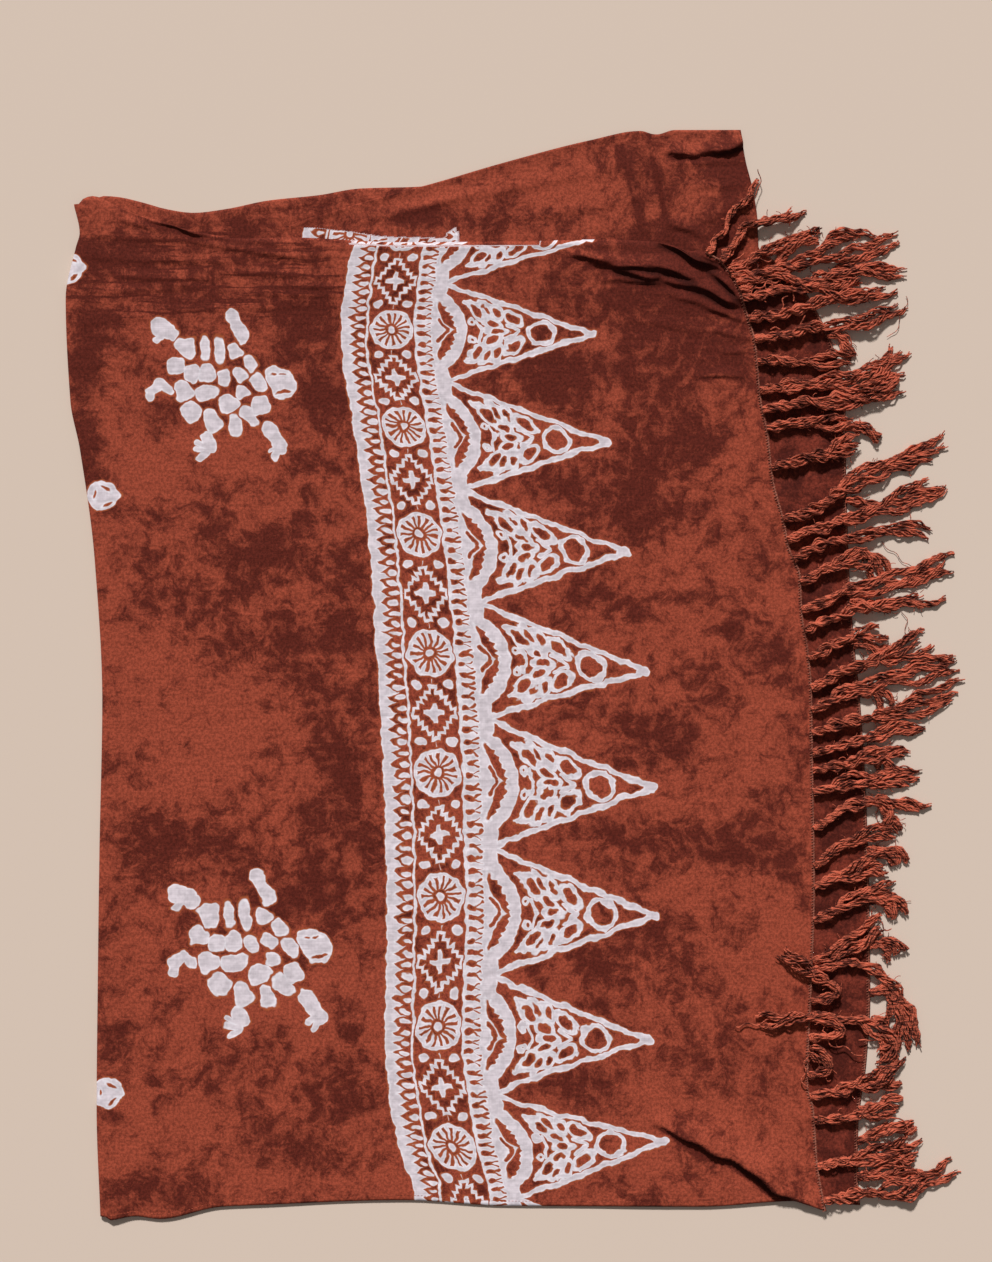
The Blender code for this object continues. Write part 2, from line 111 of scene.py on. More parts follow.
def smooth(rows, at, column=1):
    """Smooth values of a table's column, with no overshoot, at many places of its first one."""
    x = np.array([row[0] for row in rows], float)
    y = np.array([row[column] for row in rows], float)
    step = np.diff(y) / np.diff(x)
    before = np.append(step[:1], step)
    after = np.append(step, step[-1:])
    both = np.where(before * after > 0.0, before + after, 1.0)
    slope = np.where(before * after > 0.0, 2.0 * before * after / both, 0.0)
    at = np.clip(at, x[0], x[-1])
    k = np.clip(np.searchsorted(x, at, side="right") - 1, 0, len(step) - 1)
    span = x[k + 1] - x[k]
    rise = y[k + 1] - y[k]
    f = (at - x[k]) / span
    near = slope[k] * span - rise
    far = rise - slope[k + 1] * span
    return y[k] + rise * f + f * (1.0 - f) * (near * (1.0 - f) + far * f)


def eased(value):
    value = np.clip(value, 0.0, 1.0)
    return value * value * (3.0 - 2.0 * value)


def laid_out(left, right, bottom, top, s, t):
    """Plan places inside four edges, at fractions s across and t up."""
    def side(rows, fraction):
        v = rows[0][0] + (rows[-1][0] - rows[0][0]) * fraction
        return np.array((smooth(rows, v), v))

    def end(rows, first, last):
        u = first[0] + (last[0] - first[0]) * s
        return np.array((u, smooth(rows, u)))

    none, full = np.zeros_like(s), np.ones_like(s)
    low_left, low_right = side(left, none), side(right, none)
    high_left, high_right = side(left, full), side(right, full)
    low = end(bottom, low_left, low_right)
    high = end(top, high_left, high_right)
    across_low = low_left * (1 - s) + low_right * s
    across_high = high_left * (1 - s) + high_right * s
    mixed = across_low * (1 - t) + across_high * t
    return low * (1 - t) + high * t + side(left, t) * (1 - s) + side(right, t) * s - mixed


def beside(row, u, v):
    """Places about a listed fold: millimetres off its swaying line, and how full it is."""
    du, dv = row.u1 - row.u0, row.v1 - row.v0
    long = math.hypot(du, dv)
    along = ((u - row.u0) * du + (v - row.v0) * dv) / long**2
    aside = (du * (v - row.v0) - dv * (u - row.u0)) / long
    (wide, slow), (slight, quick) = FOLD_SWAYS
    sway = wide * np.sin(along * long / slow + row.u0) + slight * np.sin(along * long / quick + row.v0)
    aside = aside + sway * min(row.height / SWAY_FULL_AT, 1.0)
    full = 1.0 - FOLD_UNEVEN + FOLD_UNEVEN * np.sin(along * long / UNEVEN_EVERY + row.v1)
    return aside, full * np.sin(math.pi * np.clip(along, 0.0, 1.0)) ** 0.7


def creased(rows, u, v):
    """What the listed folds add at each place: steep below the line, easy above it.

    Gives plan shifts and a height: the crest of a high fold leans over its own foot.
    """
    total = np.zeros((3,) + np.shape(u))
    for row in rows:
        du, dv = row.u1 - row.u0, row.v1 - row.v0
        long = math.hypot(du, dv)
        aside, ends = beside(row, u, v)
        ridge = ends * np.exp(-((aside / np.where(aside > 0.0, row.above, row.below)) ** 2))
        lean = FOLD_LEAN * max(row.height - LEAN_FROM, 0.0) * ridge**2
        total += np.array((lean * dv / long, -lean * du / long, row.height * ridge))
    return total


def spaced(*spans):
    """Fractions of grid lines: each span gives where it ends and its number of cells."""
    lines = [0.0]
    for upto, cells in spans:
        lines += list(np.linspace(lines[-1], upto, cells + 1)[1:])
    return np.array(lines)

def in_scene(u, v, z=0.0):
    """A place in the scene's metres."""
    return (u - MIDDLE_U) * MM, (v - MIDDLE_V) * MM, z * MM


def add_object(name, data):
    made = bpy.data.objects.new(name, data)
    bpy.context.scene.collection.objects.link(made)
    return made


def read_all(data, label, count):
    """One whole number of each item of a mesh's data."""
    values = np.zeros(count, int)
    data.foreach_get(label, values)
    return values


def sheet_object(name, places, maps, over, under, materials):
    """A closed shell of cloth: places are its upper face in millimetres, by column and row.

    maps are its UV maps, over and under the material of each cell above and below.
    """
    columns, rows = places.shape[1] - 1, places.shape[2] - 1
    bm = bmesh.new()
    bmesh.ops.create_grid(bm, x_segments=columns, y_segments=rows, size=0.5)
    column_of = bm.verts.layers.int.new("column")
    row_of = bm.verts.layers.int.new("row")
    for vert in bm.verts:
        i = round((vert.co.x + 0.5) * columns)
        j = round((vert.co.y + 0.5) * rows)
        vert[column_of] = i
        vert[row_of] = j
        vert.co = in_scene(*places[:, i, j])
    bm.normal_update()
    bmesh.ops.solidify(bm, geom=bm.faces[:], thickness=SHELL * MM)
    mesh = bpy.data.meshes.new(name)
    bm.to_mesh(mesh)
    bm.free()

    # Faces come in the order upper, lower, rim, and the lower face's vertices come second.
    corner_vert = read_all(mesh.loops, "vertex_index", len(mesh.loops))
    starts = read_all(mesh.polygons, "loop_start", len(mesh.polygons))
    i = read_all(mesh.attributes["column"].data, "value", len(mesh.vertices))[corner_vert]
    j = read_all(mesh.attributes["row"].data, "value", len(mesh.vertices))[corner_vert]
    kind = np.minimum(np.arange(len(starts)) // (columns * rows), 2)
    corner_kind = np.repeat(kind, np.diff(np.append(starts, len(corner_vert))))
    rim_low = (corner_kind == 2) & (corner_vert >= len(mesh.vertices) // 2)

    square = np.stack((i / columns, j / rows), axis=-1) * (1.0 - 2.0 * BAKE_MARGIN) + BAKE_MARGIN
    square = np.where(rim_low[:, None], 0.5 + (square - 0.5) * RIM_SPREAD, square)
    square[:, 0] *= np.where(corner_kind == 1, LOWER_SHARE, UPPER_SHARE)
    square[:, 0] += np.where(corner_kind == 1, LOWER_START, 0.0)
    for label, values in [("OFBake", None)] + list(maps.items()):
        layer = mesh.uv_layers.new(name=label)
        data = square if values is None else values[:, i, j].T
        layer.data.foreach_set("uv", data.astype(np.float32).ravel())

    first_i = np.minimum(np.minimum.reduceat(i, starts), columns - 1)
    first_j = np.minimum(np.minimum.reduceat(j, starts), rows - 1)
    material = np.where(kind == 1, under[first_i, first_j], over[first_i, first_j])
    mesh.polygons.foreach_set("material_index", material.astype(np.int32))
    for label in ("column", "row"):
        mesh.attributes.remove(mesh.attributes[label])
    for item in materials:
        mesh.materials.append(item)
    mesh.shade_smooth()
    return add_object(name, mesh)


# How the print lies on the laid cloth: its band's outer edge, the tips of its triangles with
# how far each leans, and the middles of the band's rosettes. Rows run up the cloth.
PRINT_LEFT = table(
    "v u",
    (-160, 350), (21, 337), (81, 318), (187, 305), (321, 307), (457, 304), (581, 297), (709, 289),
    (826, 274), (942, 258), (1020, 267), (1045, 275), (1165, 280),
)
PRINT_TIPS = table(
    "v u lean",
    (-160, 640, 8), (-42, 622, 8), (81, 612, -10), (187, 596, 3), (321, 603, 3), (457, 601, 8),
    (581, 593, 14), (709, 571, 8), (826, 551, 8), (942, 535, 5), (1044, 533, 2), (1165, 530, 0),
)
ROSETTES = (-185, -55, 73, 202, 341, 474, 601, 729, 844, 947, 1050, 1165)
TIP_REACH = 291.0
TRIANGLE_BASE = 118.0
REPEAT = 124.0
NO_PRINT = -60.0


def print_maps(u, v):
    """The print's own coordinates: millimetres across it and repeats along it."""
    left = smooth(PRINT_LEFT, v)
    tip = smooth(PRINT_TIPS, v)
    across = (u - left) * TIP_REACH / (tip - left)
    lean = smooth(PRINT_TIPS, v, 2) * np.clip((TIP_REACH - across) / (TIP_REACH - TRIANGLE_BASE), 0.0, 1.0)
    tips = np.interp(v - lean, [row.v for row in PRINT_TIPS], range(len(PRINT_TIPS)))
    rosettes = np.interp(v, ROSETTES, range(len(ROSETTES)))
    return across, np.array((across, tips)), np.array((across, rosettes))


def fill(tree, socket, value):
    """Links a value to an input, or sets it there."""
    if isinstance(value, Drawn):
        value = value.socket
    if isinstance(value, bpy.types.NodeSocket):
        tree.links.new(value, socket)
    else:
        socket.default_value = value


def node(tree, kind, values=(), **settings):
    """A new shader node with its settings, and its inputs linked or set by name."""
    made = tree.nodes.new("ShaderNode" + kind)
    for label, value in settings.items():
        setattr(made, label, value)
    for label, value in dict(values).items():
        fill(tree, made.inputs[label], value)
    return made


def drawn_by(operation):
    return lambda self, *others: self.by(operation, *others)


class Drawn:
    """A number that changes over the cloth: a node's output, with arithmetic."""

    def __init__(self, tree, socket):
        self.tree = tree
        self.socket = socket

    def by(self, operation, *others):
        made = node(self.tree, "Math", operation=operation)
        for socket, value in zip(made.inputs, (self,) + others):
            fill(self.tree, socket, value)
        return Drawn(self.tree, made.outputs[0])

    __add__ = drawn_by("ADD")
    __sub__ = drawn_by("SUBTRACT")
    __mul__ = drawn_by("MULTIPLY")
    __abs__ = drawn_by("ABSOLUTE")
    floor = drawn_by("FLOOR")
    part = drawn_by("FRACT")
    lower = drawn_by("MINIMUM")
    upper = drawn_by("MAXIMUM")

    def __neg__(self):
        return self * -1.0

    def ramp(self, low, high, low_to=0.0, high_to=1.0):
        made = node(self.tree, "MapRange", {
            "Value": self, "From Min": low, "From Max": high, "To Min": low_to, "To Max": high_to,
        }, interpolation_type="SMOOTHSTEP")
        return Drawn(self.tree, made.outputs["Result"])


def vector(tree, operation, *values):
    """Vector arithmetic; gives the vector, or the number where the operation makes one."""
    made = node(tree, "VectorMath", operation=operation)
    for socket, value in zip(made.inputs, values):
        fill(tree, socket, value)
    if operation in ("LENGTH", "DOT_PRODUCT", "DISTANCE"):
        return Drawn(tree, made.outputs["Value"])
    return made.outputs["Vector"]


def scaled(tree, socket, factor):
    return node(tree, "VectorMath", {"Vector": socket, "Scale": factor}, operation="SCALE").outputs["Vector"]


def parts_of(tree, socket):
    made = node(tree, "SeparateXYZ", {"Vector": socket})
    return [Drawn(tree, made.outputs[axis]) for axis in "XYZ"]


def flat_place(tree, x, y):
    return node(tree, "CombineXYZ", {"X": x, "Y": y}).outputs["Vector"]


def noise(tree, place, scale, detail=2.0, roughness=0.5, color=False, **more):
    made = node(tree, "TexNoise", {
        "Vector": place, "Scale": scale, "Detail": detail, "Roughness": roughness, **more,
    }, noise_dimensions="2D")
    return made.outputs["Color"] if color else Drawn(tree, made.outputs["Fac"])


def wander(tree, place, scale, roughness):
    """A shift that wanders about zero."""
    return vector(tree, "SUBTRACT", noise(tree, place, scale, 2.0, roughness, color=True), (0.5, 0.5, 0.5))


def drawn_out(tree, place, stretch, detail=1.0, roughness=0.6):
    """Noise drawn out one way, as threads and streaks are."""
    return noise(tree, vector(tree, "MULTIPLY", place, (*stretch, 1.0)), 1.0, detail, roughness)


def mix(tree, factor, first, second, kind="RGBA"):
    """One colour or place turning into another."""
    return node(tree, "Mix", {"Factor": factor, "A": first, "B": second}, data_type=kind).outputs["Result"]


def group_of(name, inputs, outputs):
    """An empty shader group: its tree, what it is given and what it puts out."""
    tree = bpy.data.node_groups.new(name, "ShaderNodeTree")
    for way, sockets in (("INPUT", inputs), ("OUTPUT", outputs)):
        for label, kind in sockets.items():
            tree.interface.new_socket(label, in_out=way, socket_type="NodeSocket" + kind)
    return tree, tree.nodes.new("NodeGroupInput").outputs, tree.nodes.new("NodeGroupOutput").inputs


# Where the crumpled cloth took more dye, or less: middle, radii and strength. A few rows are painted shade
# rather than dye: the small ovals down the flap's pleat and the dark pockets under the corner's folds.
# The cloth is gathered in one more place, where fine streaks run along it.
DYE_AND_SHADE_PLACES = table(
    "u v across along strength",
    (150, 715, 75, 48, 0.22), (215, 610, 45, 70, 0.12), (235, 500, 50, 60, 0.12), (40, 480, 45, 26, 0.16),
    (100, 400, 55, 34, 0.22), (246, 370, 50, 60, 0.16), (160, 150, 70, 30, 0.12), (250, 110, 45, 60, 0.14),
    (60, 190, 40, 30, 0.10), (100, 1024, 230, 26, 0.12), (107, 1050, 150, 26, 0.13),
    (60, 985, 70, 30, 0.12), (215, 960, 50, 40, 0.14), (0, 965, 40, 60, 0.14), (250, 905, 40, 60, 0.18),
    (585, 925, 100, 42, 0.22), (640, 985, 60, 30, 0.24), (575, 755, 60, 52, 0.24),
    (620, 840, 60, 40, 0.22), (590, 515, 100, 36, 0.22), (690, 605, 44, 40, 0.20),
    (700, 400, 60, 36, 0.24), (590, 300, 60, 44, 0.20), (500, 150, 60, 30, 0.18), (675, 175, 50, 36, 0.16),
    # painted shade: the small ovals from (549, 1150) to (590, 1056) run down the flap's pleat
    (549, 1150, 5, 9, 0.18), (557, 1135, 5, 11, 0.34), (567, 1117, 5, 11, 0.30),
    (574, 1098, 4.5, 12, 0.20), (581, 1076, 4.5, 14, 0.16), (590, 1056, 8, 7, 0.12),
    (674, 1086, 9, 38, 0.34), (600, 1090, 130, 60, 0.10), (650, 1090, 50, 45, 0.13),
    (540, 1030, 45, 12, 0.20), (631, 1044, 55, 14, 0.26), (400, 1075, 60, 22, 0.16),
    (380, 690, 30, 60, 0.12), (55, 800, 60, 40, -0.18), (125, 520, 66, 42, -0.20),
    (125, 645, 75, 36, 0.12), (100, 470, 50, 30, -0.16), (30, 545, 40, 70, -0.16),
    (630, 670, 70, 48, -0.06), (708, 790, 44, 80, -0.05), (150, 240, 110, 40, -0.14),
    (50, 70, 60, 44, -0.18), (645, 90, 90, 44, -0.09), (718, 275, 40, 60, -0.18),
    (535, 610, 44, 40, -0.04), (480, 1105, 90, 26, -0.18), (170, 840, 60, 30, -0.10),
    (690, 503, 46, 42, -0.18), (350, 1084, 60, 15, -0.24), (600, 1000, 60, 16, 0.14),
    (334, 1066, 22, 9, 0.46), (365, 1078, 16, 7, 0.20), (60, 1075, 40, 12, -0.08),
    (440, 420, 400, 300, -0.03), (267, 637, 38, 96, 0.18), (262, 433, 42, 92, 0.16),
    (37, 392, 40, 40, 0.14), (-18, 883, 16, 100, 0.18), (600, 945, 120, 80, 0.08),
    (715, 762, 40, 22, 0.20), (487, 899, 55, 24, 0.24), (492, 776, 55, 24, 0.24), (503, 653, 50, 22, 0.22),
    (545, 401, 60, 28, 0.20), (530, 268, 50, 24, 0.12), (470, 128, 40, 16, -0.12), (75, 28, 60, 20, 0.38),
    # painted shadow: (668, 1033) and (658, 984) darken the pockets under the corner's folds
    (-12, 850, 16, 70, 0.18), (604, 1011, 95, 32, 0.16), (668, 1033, 13, 9, 0.50), (658, 984, 14, 8, 0.30),
    (165, 330, 90, 56, 0.13), (128, 905, 75, 60, 0.09), (360, 70, 50, 40, 0.12), (238, 850, 28, 60, 0.16),
)
DYE_SPREAD = 1.8
# Painted shade along the foot of a fold, where its shadow falls, carried with the dye: how much, at what
# height fully, how far off and how wide.
FOLD_SHADE_PAINTED = 1.25
FOLD_SHADE_FULL_AT = 6.5
FOLD_SHADE_OFF = 0.5
FOLD_SHADE_WIDTH = 0.62
GATHERED = table("u v across along", (105, 1004, 240, 62))[0]
GATHERED_CORE = 0.4
GATHERED_FADE = 0.7


def reach_of(row, u, v):
    return np.hypot((u - row.u) / row.across, (v - row.v) / row.along)


def dye_and_shade_map(u, v, creases, more=0.0):
    """How much dye the cloth took at each place, with painted shade added at the feet of folds, and how far
    it is gathered there.
    """
    total = np.zeros_like(u) + more
    for row in DYE_AND_SHADE_PLACES:
        total += row.strength * (1.0 - eased(reach_of(row, u, v) / DYE_SPREAD))
    for row in creases:
        aside, ends = beside(row, u, v)
        foot = (aside + FOLD_SHADE_OFF * (row.below + row.height)) / (FOLD_SHADE_WIDTH * row.height)
        total += FOLD_SHADE_PAINTED * min(row.height / FOLD_SHADE_FULL_AT, 1.0) ** 2 * ends * np.exp(-(foot ** 2))
    gathered = 1.0 - eased((reach_of(GATHERED, u, v) - GATHERED_CORE) / GATHERED_FADE)
    return np.array((total, gathered))


def dye_group():
    """Crumple dye: soft clouds with feathered dark patches, broken up by fine mottle."""
    inputs = {"Place": "Vector", "Light": "Color", "Dark": "Color", "Amount": "Vector"}
    tree, given, result = group_of("Crumple dye", inputs, {"Color": "Color"})
    place = given["Place"]
    # Amount carries painted shade as well as dye, from the feet of folds and from shaded cloth, and darkens
    # the same way.
    amount, gathered, _ = parts_of(tree, given["Amount"])
    warp = wander(tree, place, 22.0, 0.65)
    warped = vector(tree, "ADD", place, scaled(tree, warp, 0.03))
    clouds = noise(tree, warped, 19.0, 2.0, 0.6) * 0.9
    flecks = noise(tree, warped, 75.0, 4.0, 0.78, Lacunarity=2.2) * 1.15
    slight = vector(tree, "ADD", place, scaled(tree, warp, 0.006))
    streaks = drawn_out(tree, slight, (11.0, 200.0)).ramp(0.5, 0.75, 0.0, 0.55)
    haze = (clouds + amount * 1.5).ramp(0.50, 0.92, 0.0, 0.68)
    depth = (clouds + flecks + amount + streaks * gathered).ramp(0.88, 1.32).upper(haze)
    mixed = mix(tree, depth, given["Light"], given["Dark"])
    grain = noise(tree, place, 330.0, 2.0, 0.8).ramp(0.32, 0.68, 0.74, 1.28)
    grain = grain * amount.ramp(0.5, 1.15, 1.0, 0.42)
    fill(tree, result["Color"], scaled(tree, mixed, grain))
    return tree


def weave_group():
    """Plain rayon weave: uneven threads both ways, as a height and a slight tint."""
    tree, given, result = group_of("Rayon weave", {"Place": "Vector"}, {"Height": "Float", "Tint": "Float"})
    place = given["Place"]
    height = drawn_out(tree, place, (40.0, 1500.0)) + drawn_out(tree, place, (1500.0, 40.0))
    fill(tree, result["Height"], height)
    fill(tree, result["Tint"], height.ramp(0.65, 1.35, 0.96, 1.04))
    return tree


def framed(tree, place, middle, turn, size):
    """A place in a turned and scaled frame about a middle."""
    return node(tree, "Mapping", {
        "Vector": place, "Location": (*middle, 0.0), "Rotation": (0.0, 0.0, math.radians(turn)),
        "Scale": (*size, 1.0),
    }, vector_type="TEXTURE").outputs["Vector"]


def oval(tree, place, at, size, turn=0.0, wedge=0.0, squarish=False):
    """Distance to an oval in millimetres, below zero inside it."""
    if turn:
        made = framed(tree, place, at, turn, size)
    else:
        away = vector(tree, "SUBTRACT", place, (*at, 0.0))
        made = vector(tree, "MULTIPLY", away, (1.0 / size[0], 1.0 / size[1], 1.0))
    if wedge:
        x, y, _ = parts_of(tree, made)
        made = flat_place(tree, x * (y * wedge + 1.0), y)
    reach = vector(tree, "LENGTH", made)
    if squarish:
        twice = vector(tree, "MULTIPLY", made, made)
        reach = (reach + vector(tree, "DOT_PRODUCT", twice, twice).by("POWER", 0.25)) * 0.5
    return (reach - 1.0) * min(size)


def stroke(tree, place, start, end, radius):
    """Distance to a rounded bar from start to end."""
    line = (end[0] - start[0], end[1] - start[1], 0.0)
    away = vector(tree, "SUBTRACT", place, (*start, 0.0))
    along = vector(tree, "DOT_PRODUCT", away, line) * (1.0 / (line[0] ** 2 + line[1] ** 2))
    along = along.upper(0.0).lower(1.0)
    return vector(tree, "DISTANCE", away, flat_place(tree, along * line[0], along * line[1])) - radius


def all_of(shapes):
    total = shapes[0]
    for shape in shapes[1:]:
        total = total.lower(shape)
    return total


def ovals(tree, place, rows, squarish=False):
    return all_of([oval(tree, place, row[0:2], row[2:4], *row[4:], squarish=squarish) for row in rows])


def strokes(tree, place, rows):
    return all_of([stroke(tree, place, row[0:2], row[2:4], row.radius) for row in rows])


# The traditional border: a comb of drop-filled notches, a band of rosettes and stepped
# diamonds, a second comb, and a row of tumpal triangles with a palmette and a ring in each.
BAND_MIDDLE = 57.0
TEETH = 11.0
TOOTH = 11.3
SPOKES = 15.0
DIAMOND_HALF = (23.5, 28.5)
TRIANGLE_HALF = 62.0
PETALS = table(
    "p y long short turn",
    (153.2, 25.2, 10.4, 4.7, -47), (162.2, 28.3, 8.0, 3.0, -55), (174.8, 25.0, 7.0, 3.5, -70),
    (169.7, 10.6, 7.6, 4.2, -30), (175.0, 0.0, 7.4, 3.8, 0), (193.0, 17.0, 10.4, 5.4, -39),
)
PALMETTE_STEMS = table(
    "p0 y0 p1 y1 radius",
    (137, 38, 149, 28, 2.3), (137, 38, 168, 34, 2.2), (153, 13, 157, 0, 1.7), (186, 9, 199, 1, 2.0),
)
PETAL_LINE = 3.0


def border_group():
    inputs = {"Print": "Vector", "Band": "Vector", "Wobble": "Vector"}
    tree, given, result = group_of("Border print", inputs, {"Distance": "Float"})
    shake_p, shake_q, closed = parts_of(tree, given["Wobble"])
    p, q, _ = parts_of(tree, given["Print"])
    _, w, _ = parts_of(tree, given["Band"])
    p = p + shake_p
    q = q + shake_q * (1.0 / REPEAT)
    w = w + shake_q * (1.0 / REPEAT)

    # The two combs.
    tooth = ((q * TEETH).part() - 0.5) * TOOTH
    notch = abs(tooth + (p - 10.0) * 0.10)
    comb = (p - notch * 1.7 - 8.2 + closed) * 0.5
    drops = oval(tree, flat_place(tree, p, notch), (22.2, 0.0), (5.6, 2.7)) + closed * 0.5
    line = abs(p - 29.6) - 1.3
    left_side = comb.lower(drops).lower(line).upper(-p)

    # The band, with its rosettes and diamonds.
    off = p - BAND_MIDDLE
    along = (w - (w + 0.5).floor()) * REPEAT
    far = (w - w.floor() - 0.5) * REPEAT
    reach = vector(tree, "LENGTH", flat_place(tree, off, along))
    angle = along.by("ARCTAN2", off) * (SPOKES / math.tau)
    spoke = abs((angle.part() - 0.5) * (math.tau / SPOKES)) * reach
    spokes = (spoke - reach * 0.05 - 0.85).upper(abs(reach - 13.6) - 6.9)
    hub = abs(reach - 6.0) - 1.9
    rosette = (reach - 24.4).upper(-(spokes.lower(hub)))
    across = abs(off)
    away = abs(far)
    across_share = across * (1.0 / DIAMOND_HALF[0])
    away_share = away * (1.0 / DIAMOND_HALF[1])
    edge_line = (across_share + away_share - 1.0) * 18.2
    tread = (abs(((across_share - away_share) * 2.5).part() - 0.5) - 0.25) * 8.5
    diamond = (abs(edge_line - tread) - 2.1) * 0.72
    long_arm = across.upper(away)
    star = (across.lower(away) + long_arm * 0.2 - 4.0).upper(long_arm - 10.5)
    spots = oval(tree, flat_place(tree, across, abs(along)), (16.5, 32.0), (5.4, 4.8))
    band = all_of([rosette, diamond, star, spots]).upper(across - 25.5)
    right_line = abs(p - 83.8) - 1.4

    # The second comb and the ground behind the triangles.
    on_tooth = flat_place(tree, p, abs(tooth))
    bars = oval(tree, on_tooth, (90.2, 0.0), (5.0, 2.9), squarish=True) + closed * 0.5
    forks = stroke(tree, on_tooth, (94.5, 1.0), (100.5, 3.4), 1.0) + closed * 0.5
    ground = (abs(p - 101.5) - 16.5).upper(-bars.lower(forks))

    # One triangle, drawn on one side of its axis and mirrored.
    half = abs((q - (q + 0.5).floor()) * REPEAT)
    place = flat_place(tree, p, half)
    rise = TIP_REACH - TRIANGLE_BASE
    slant = math.hypot(TRIANGLE_HALF, rise)
    side = ((p - TRIANGLE_BASE) * TRIANGLE_HALF + (half - TRIANGLE_HALF) * rise) * (1.0 / slant)
    side = side - (p * 0.17).by("SINE") * 0.8
    outline = abs(side + 2.9) - 2.9
    disc = oval(tree, place, (84.0, 0.0), (57.3, 57.3))
    scallop = abs((half * 0.15).part() - 0.5) * 4.4
    leaf = oval(tree, place, (118.4, 18.0), (21.5, 5.6), -61)
    lens = leaf + (p + half * 0.55 - 129.5).ramp(-1.0, 1.0) * scallop
    hook = stroke(tree, place, (110.0, 13.0), (118.5, 1.5), 2.3)
    bud = oval(tree, place, (111.5, 0.0), (5.0, 4.4))
    cut = -lens.lower(hook.upper(-bud))
    holes = ovals(tree, place, PETALS)
    petals = abs(holes - PETAL_LINE / 2.0) - PETAL_LINE / 2.0
    stems = strokes(tree, place, PALMETTE_STEMS).upper(-holes)
    spiral = abs(oval(tree, place, (147.0, 12.0), (3.4, 3.4))) - 1.5
    ring = abs(oval(tree, place, (225.5, 0.0), (14.4, 13.8))) - 2.2
    inner = all_of([petals, stems, spiral, ring]) - (closed - 0.2).upper(0.0) * 1.4
    inner = inner.lower(disc.upper(cut))
    tip = stroke(tree, place, (277.0, 0.0), (282.0, 0.0), 4.7)
    triangle = outline.lower(inner.upper(side)).upper(abs(p - 195.0) - 91.0).lower(tip)
    whole = all_of([left_side, band, right_line, ground.upper(cut), triangle])
    fill(tree, result["Distance"], whole)
    return tree


# Sea turtles of this maker's own drawing: plates of a shell, flippers and a head, in
# millimetres about the shell's middle. They face right.
TURTLE_PLATES = table(
    "x y long short turn wedge",
    (-34, 38, 9.6, 12.6, 14, -0.35), (-15, 38.5, 5.2, 13.8, 4, 0.1), (0.5, 37, 5.6, 15.2, 4, -0.1),
    (17, 36, 7.6, 8.6, 30, 0.3), (33, 23, 6.2, 10, 38, 0.2), (-46, 20, 10.2, 9.2, 12, 0.15),
    (-29, 12, 9, 9.2, 0, 0), (-13, 12.5, 9.2, 9.6, 15, 0.1), (5, 8.5, 6.8, 9.2, 12, -0.1),
    (22, 11, 7, 8.8, 48, 0.2), (42, 2, 7, 10.6, 34, -0.2), (-38.5, -5.5, 9.6, 10.8, 30, 0.25),
    (-13, -9, 13.4, 8.6, 6, -0.2), (24, -7.5, 6.8, 7.4, 20, 0.35), (-29.5, -28, 10.4, 11.2, 38, 0.1),
    (10, -20.5, 11, 10, 30, 0.25), (43.5, -22, 9.8, 10.8, 10, 0.3), (-7, -38.5, 9, 13, 18, 0.35),
    (17, -43, 7.2, 11.8, 10, 0.2), (33, -34.5, 7.4, 13, 40, -0.25),
)
PLATE_GAP = 0.1
TURTLE_LIMBS = table(
    "x0 y0 x1 y1 radius",
    (-65, 63, -54, 57, 8.4), (-56, 60, -49, 54, 6.4), (-60, 54, -67, 48, 2.6), (14, 74, 19, 62, 5.6),
    (19, 62, 25, 51, 6.4), (-54, -6, -62, 1, 4.2), (-62, 1, -72, -6, 5.0), (-72, -6, -73, -14, 3.8),
    (-13, -57, -9, -66, 6.4), (-11, -67, -25, -62, 2.6), (-11, -71, -25, -69, 2.4),
    (-12, -73, -22, -79, 2.6), (53, -46, 61, -58, 6.6), (61, -58, 65, -67, 6.6), (61, -66, 55, -71, 2.4),
    (65, -68, 60, -78, 3.2),
)
TURTLE_HEAD = table("x y long short turn", (62, 7.5, 14.0, 12.0, -28), (69, -0.5, 14.0, 15.5, 0))
HEAD_MARKS = table(
    "x y long short turn", (59, 11, 3.4, 1.2, -6), (68, 10.5, 3.0, 1.1, 0), (69, -8.0, 8.0, 2.3, 9),
)
FOLD_HEAD = table("x y long short turn", (0, 0, 16.5, 16.5, 0), (11, 1, 8.5, 6.5, 0))
FOLD_MARKS = table(
    "x y long short turn", (4, 8.5, 5.6, 1.7, -38), (6, -9.5, 5.4, 1.8, 34), (-8, 1, 3.6, 1.5, 80),
)
TURTLES = table("u v turn size", (128, 888, 0, 1.0), (158, 281, 4, 1.1))
FOLD_HEADS = table("u v", (-33, 1012), (4, 769), (9, 132))
FOLD_MARGIN = 42.0
# Boxes about the turtles, the heads at the fold and the border that carry a print.
TURTLE_HALF_LONG = 100
TURTLE_HALF_WIDE = 102
HEAD_HALF = 30
BORDER_BEFORE = 8
BORDER_PAST = 10
# Lines up the cloth between the two turtles, and between the three heads at the fold.
BETWEEN_TURTLES = 585.0
BETWEEN_HEADS = (450.0, 890.0)


def near(tree, place, row, turn=0.0, size=1.0):
    """Millimetres about a place on the laid cloth."""
    return framed(tree, place, in_scene(row.u, row.v)[:2], turn, (size * MM, size * MM))


def head_shape(tree, place, rounds, marks):
    return ovals(tree, place, rounds).upper(-ovals(tree, place, marks))


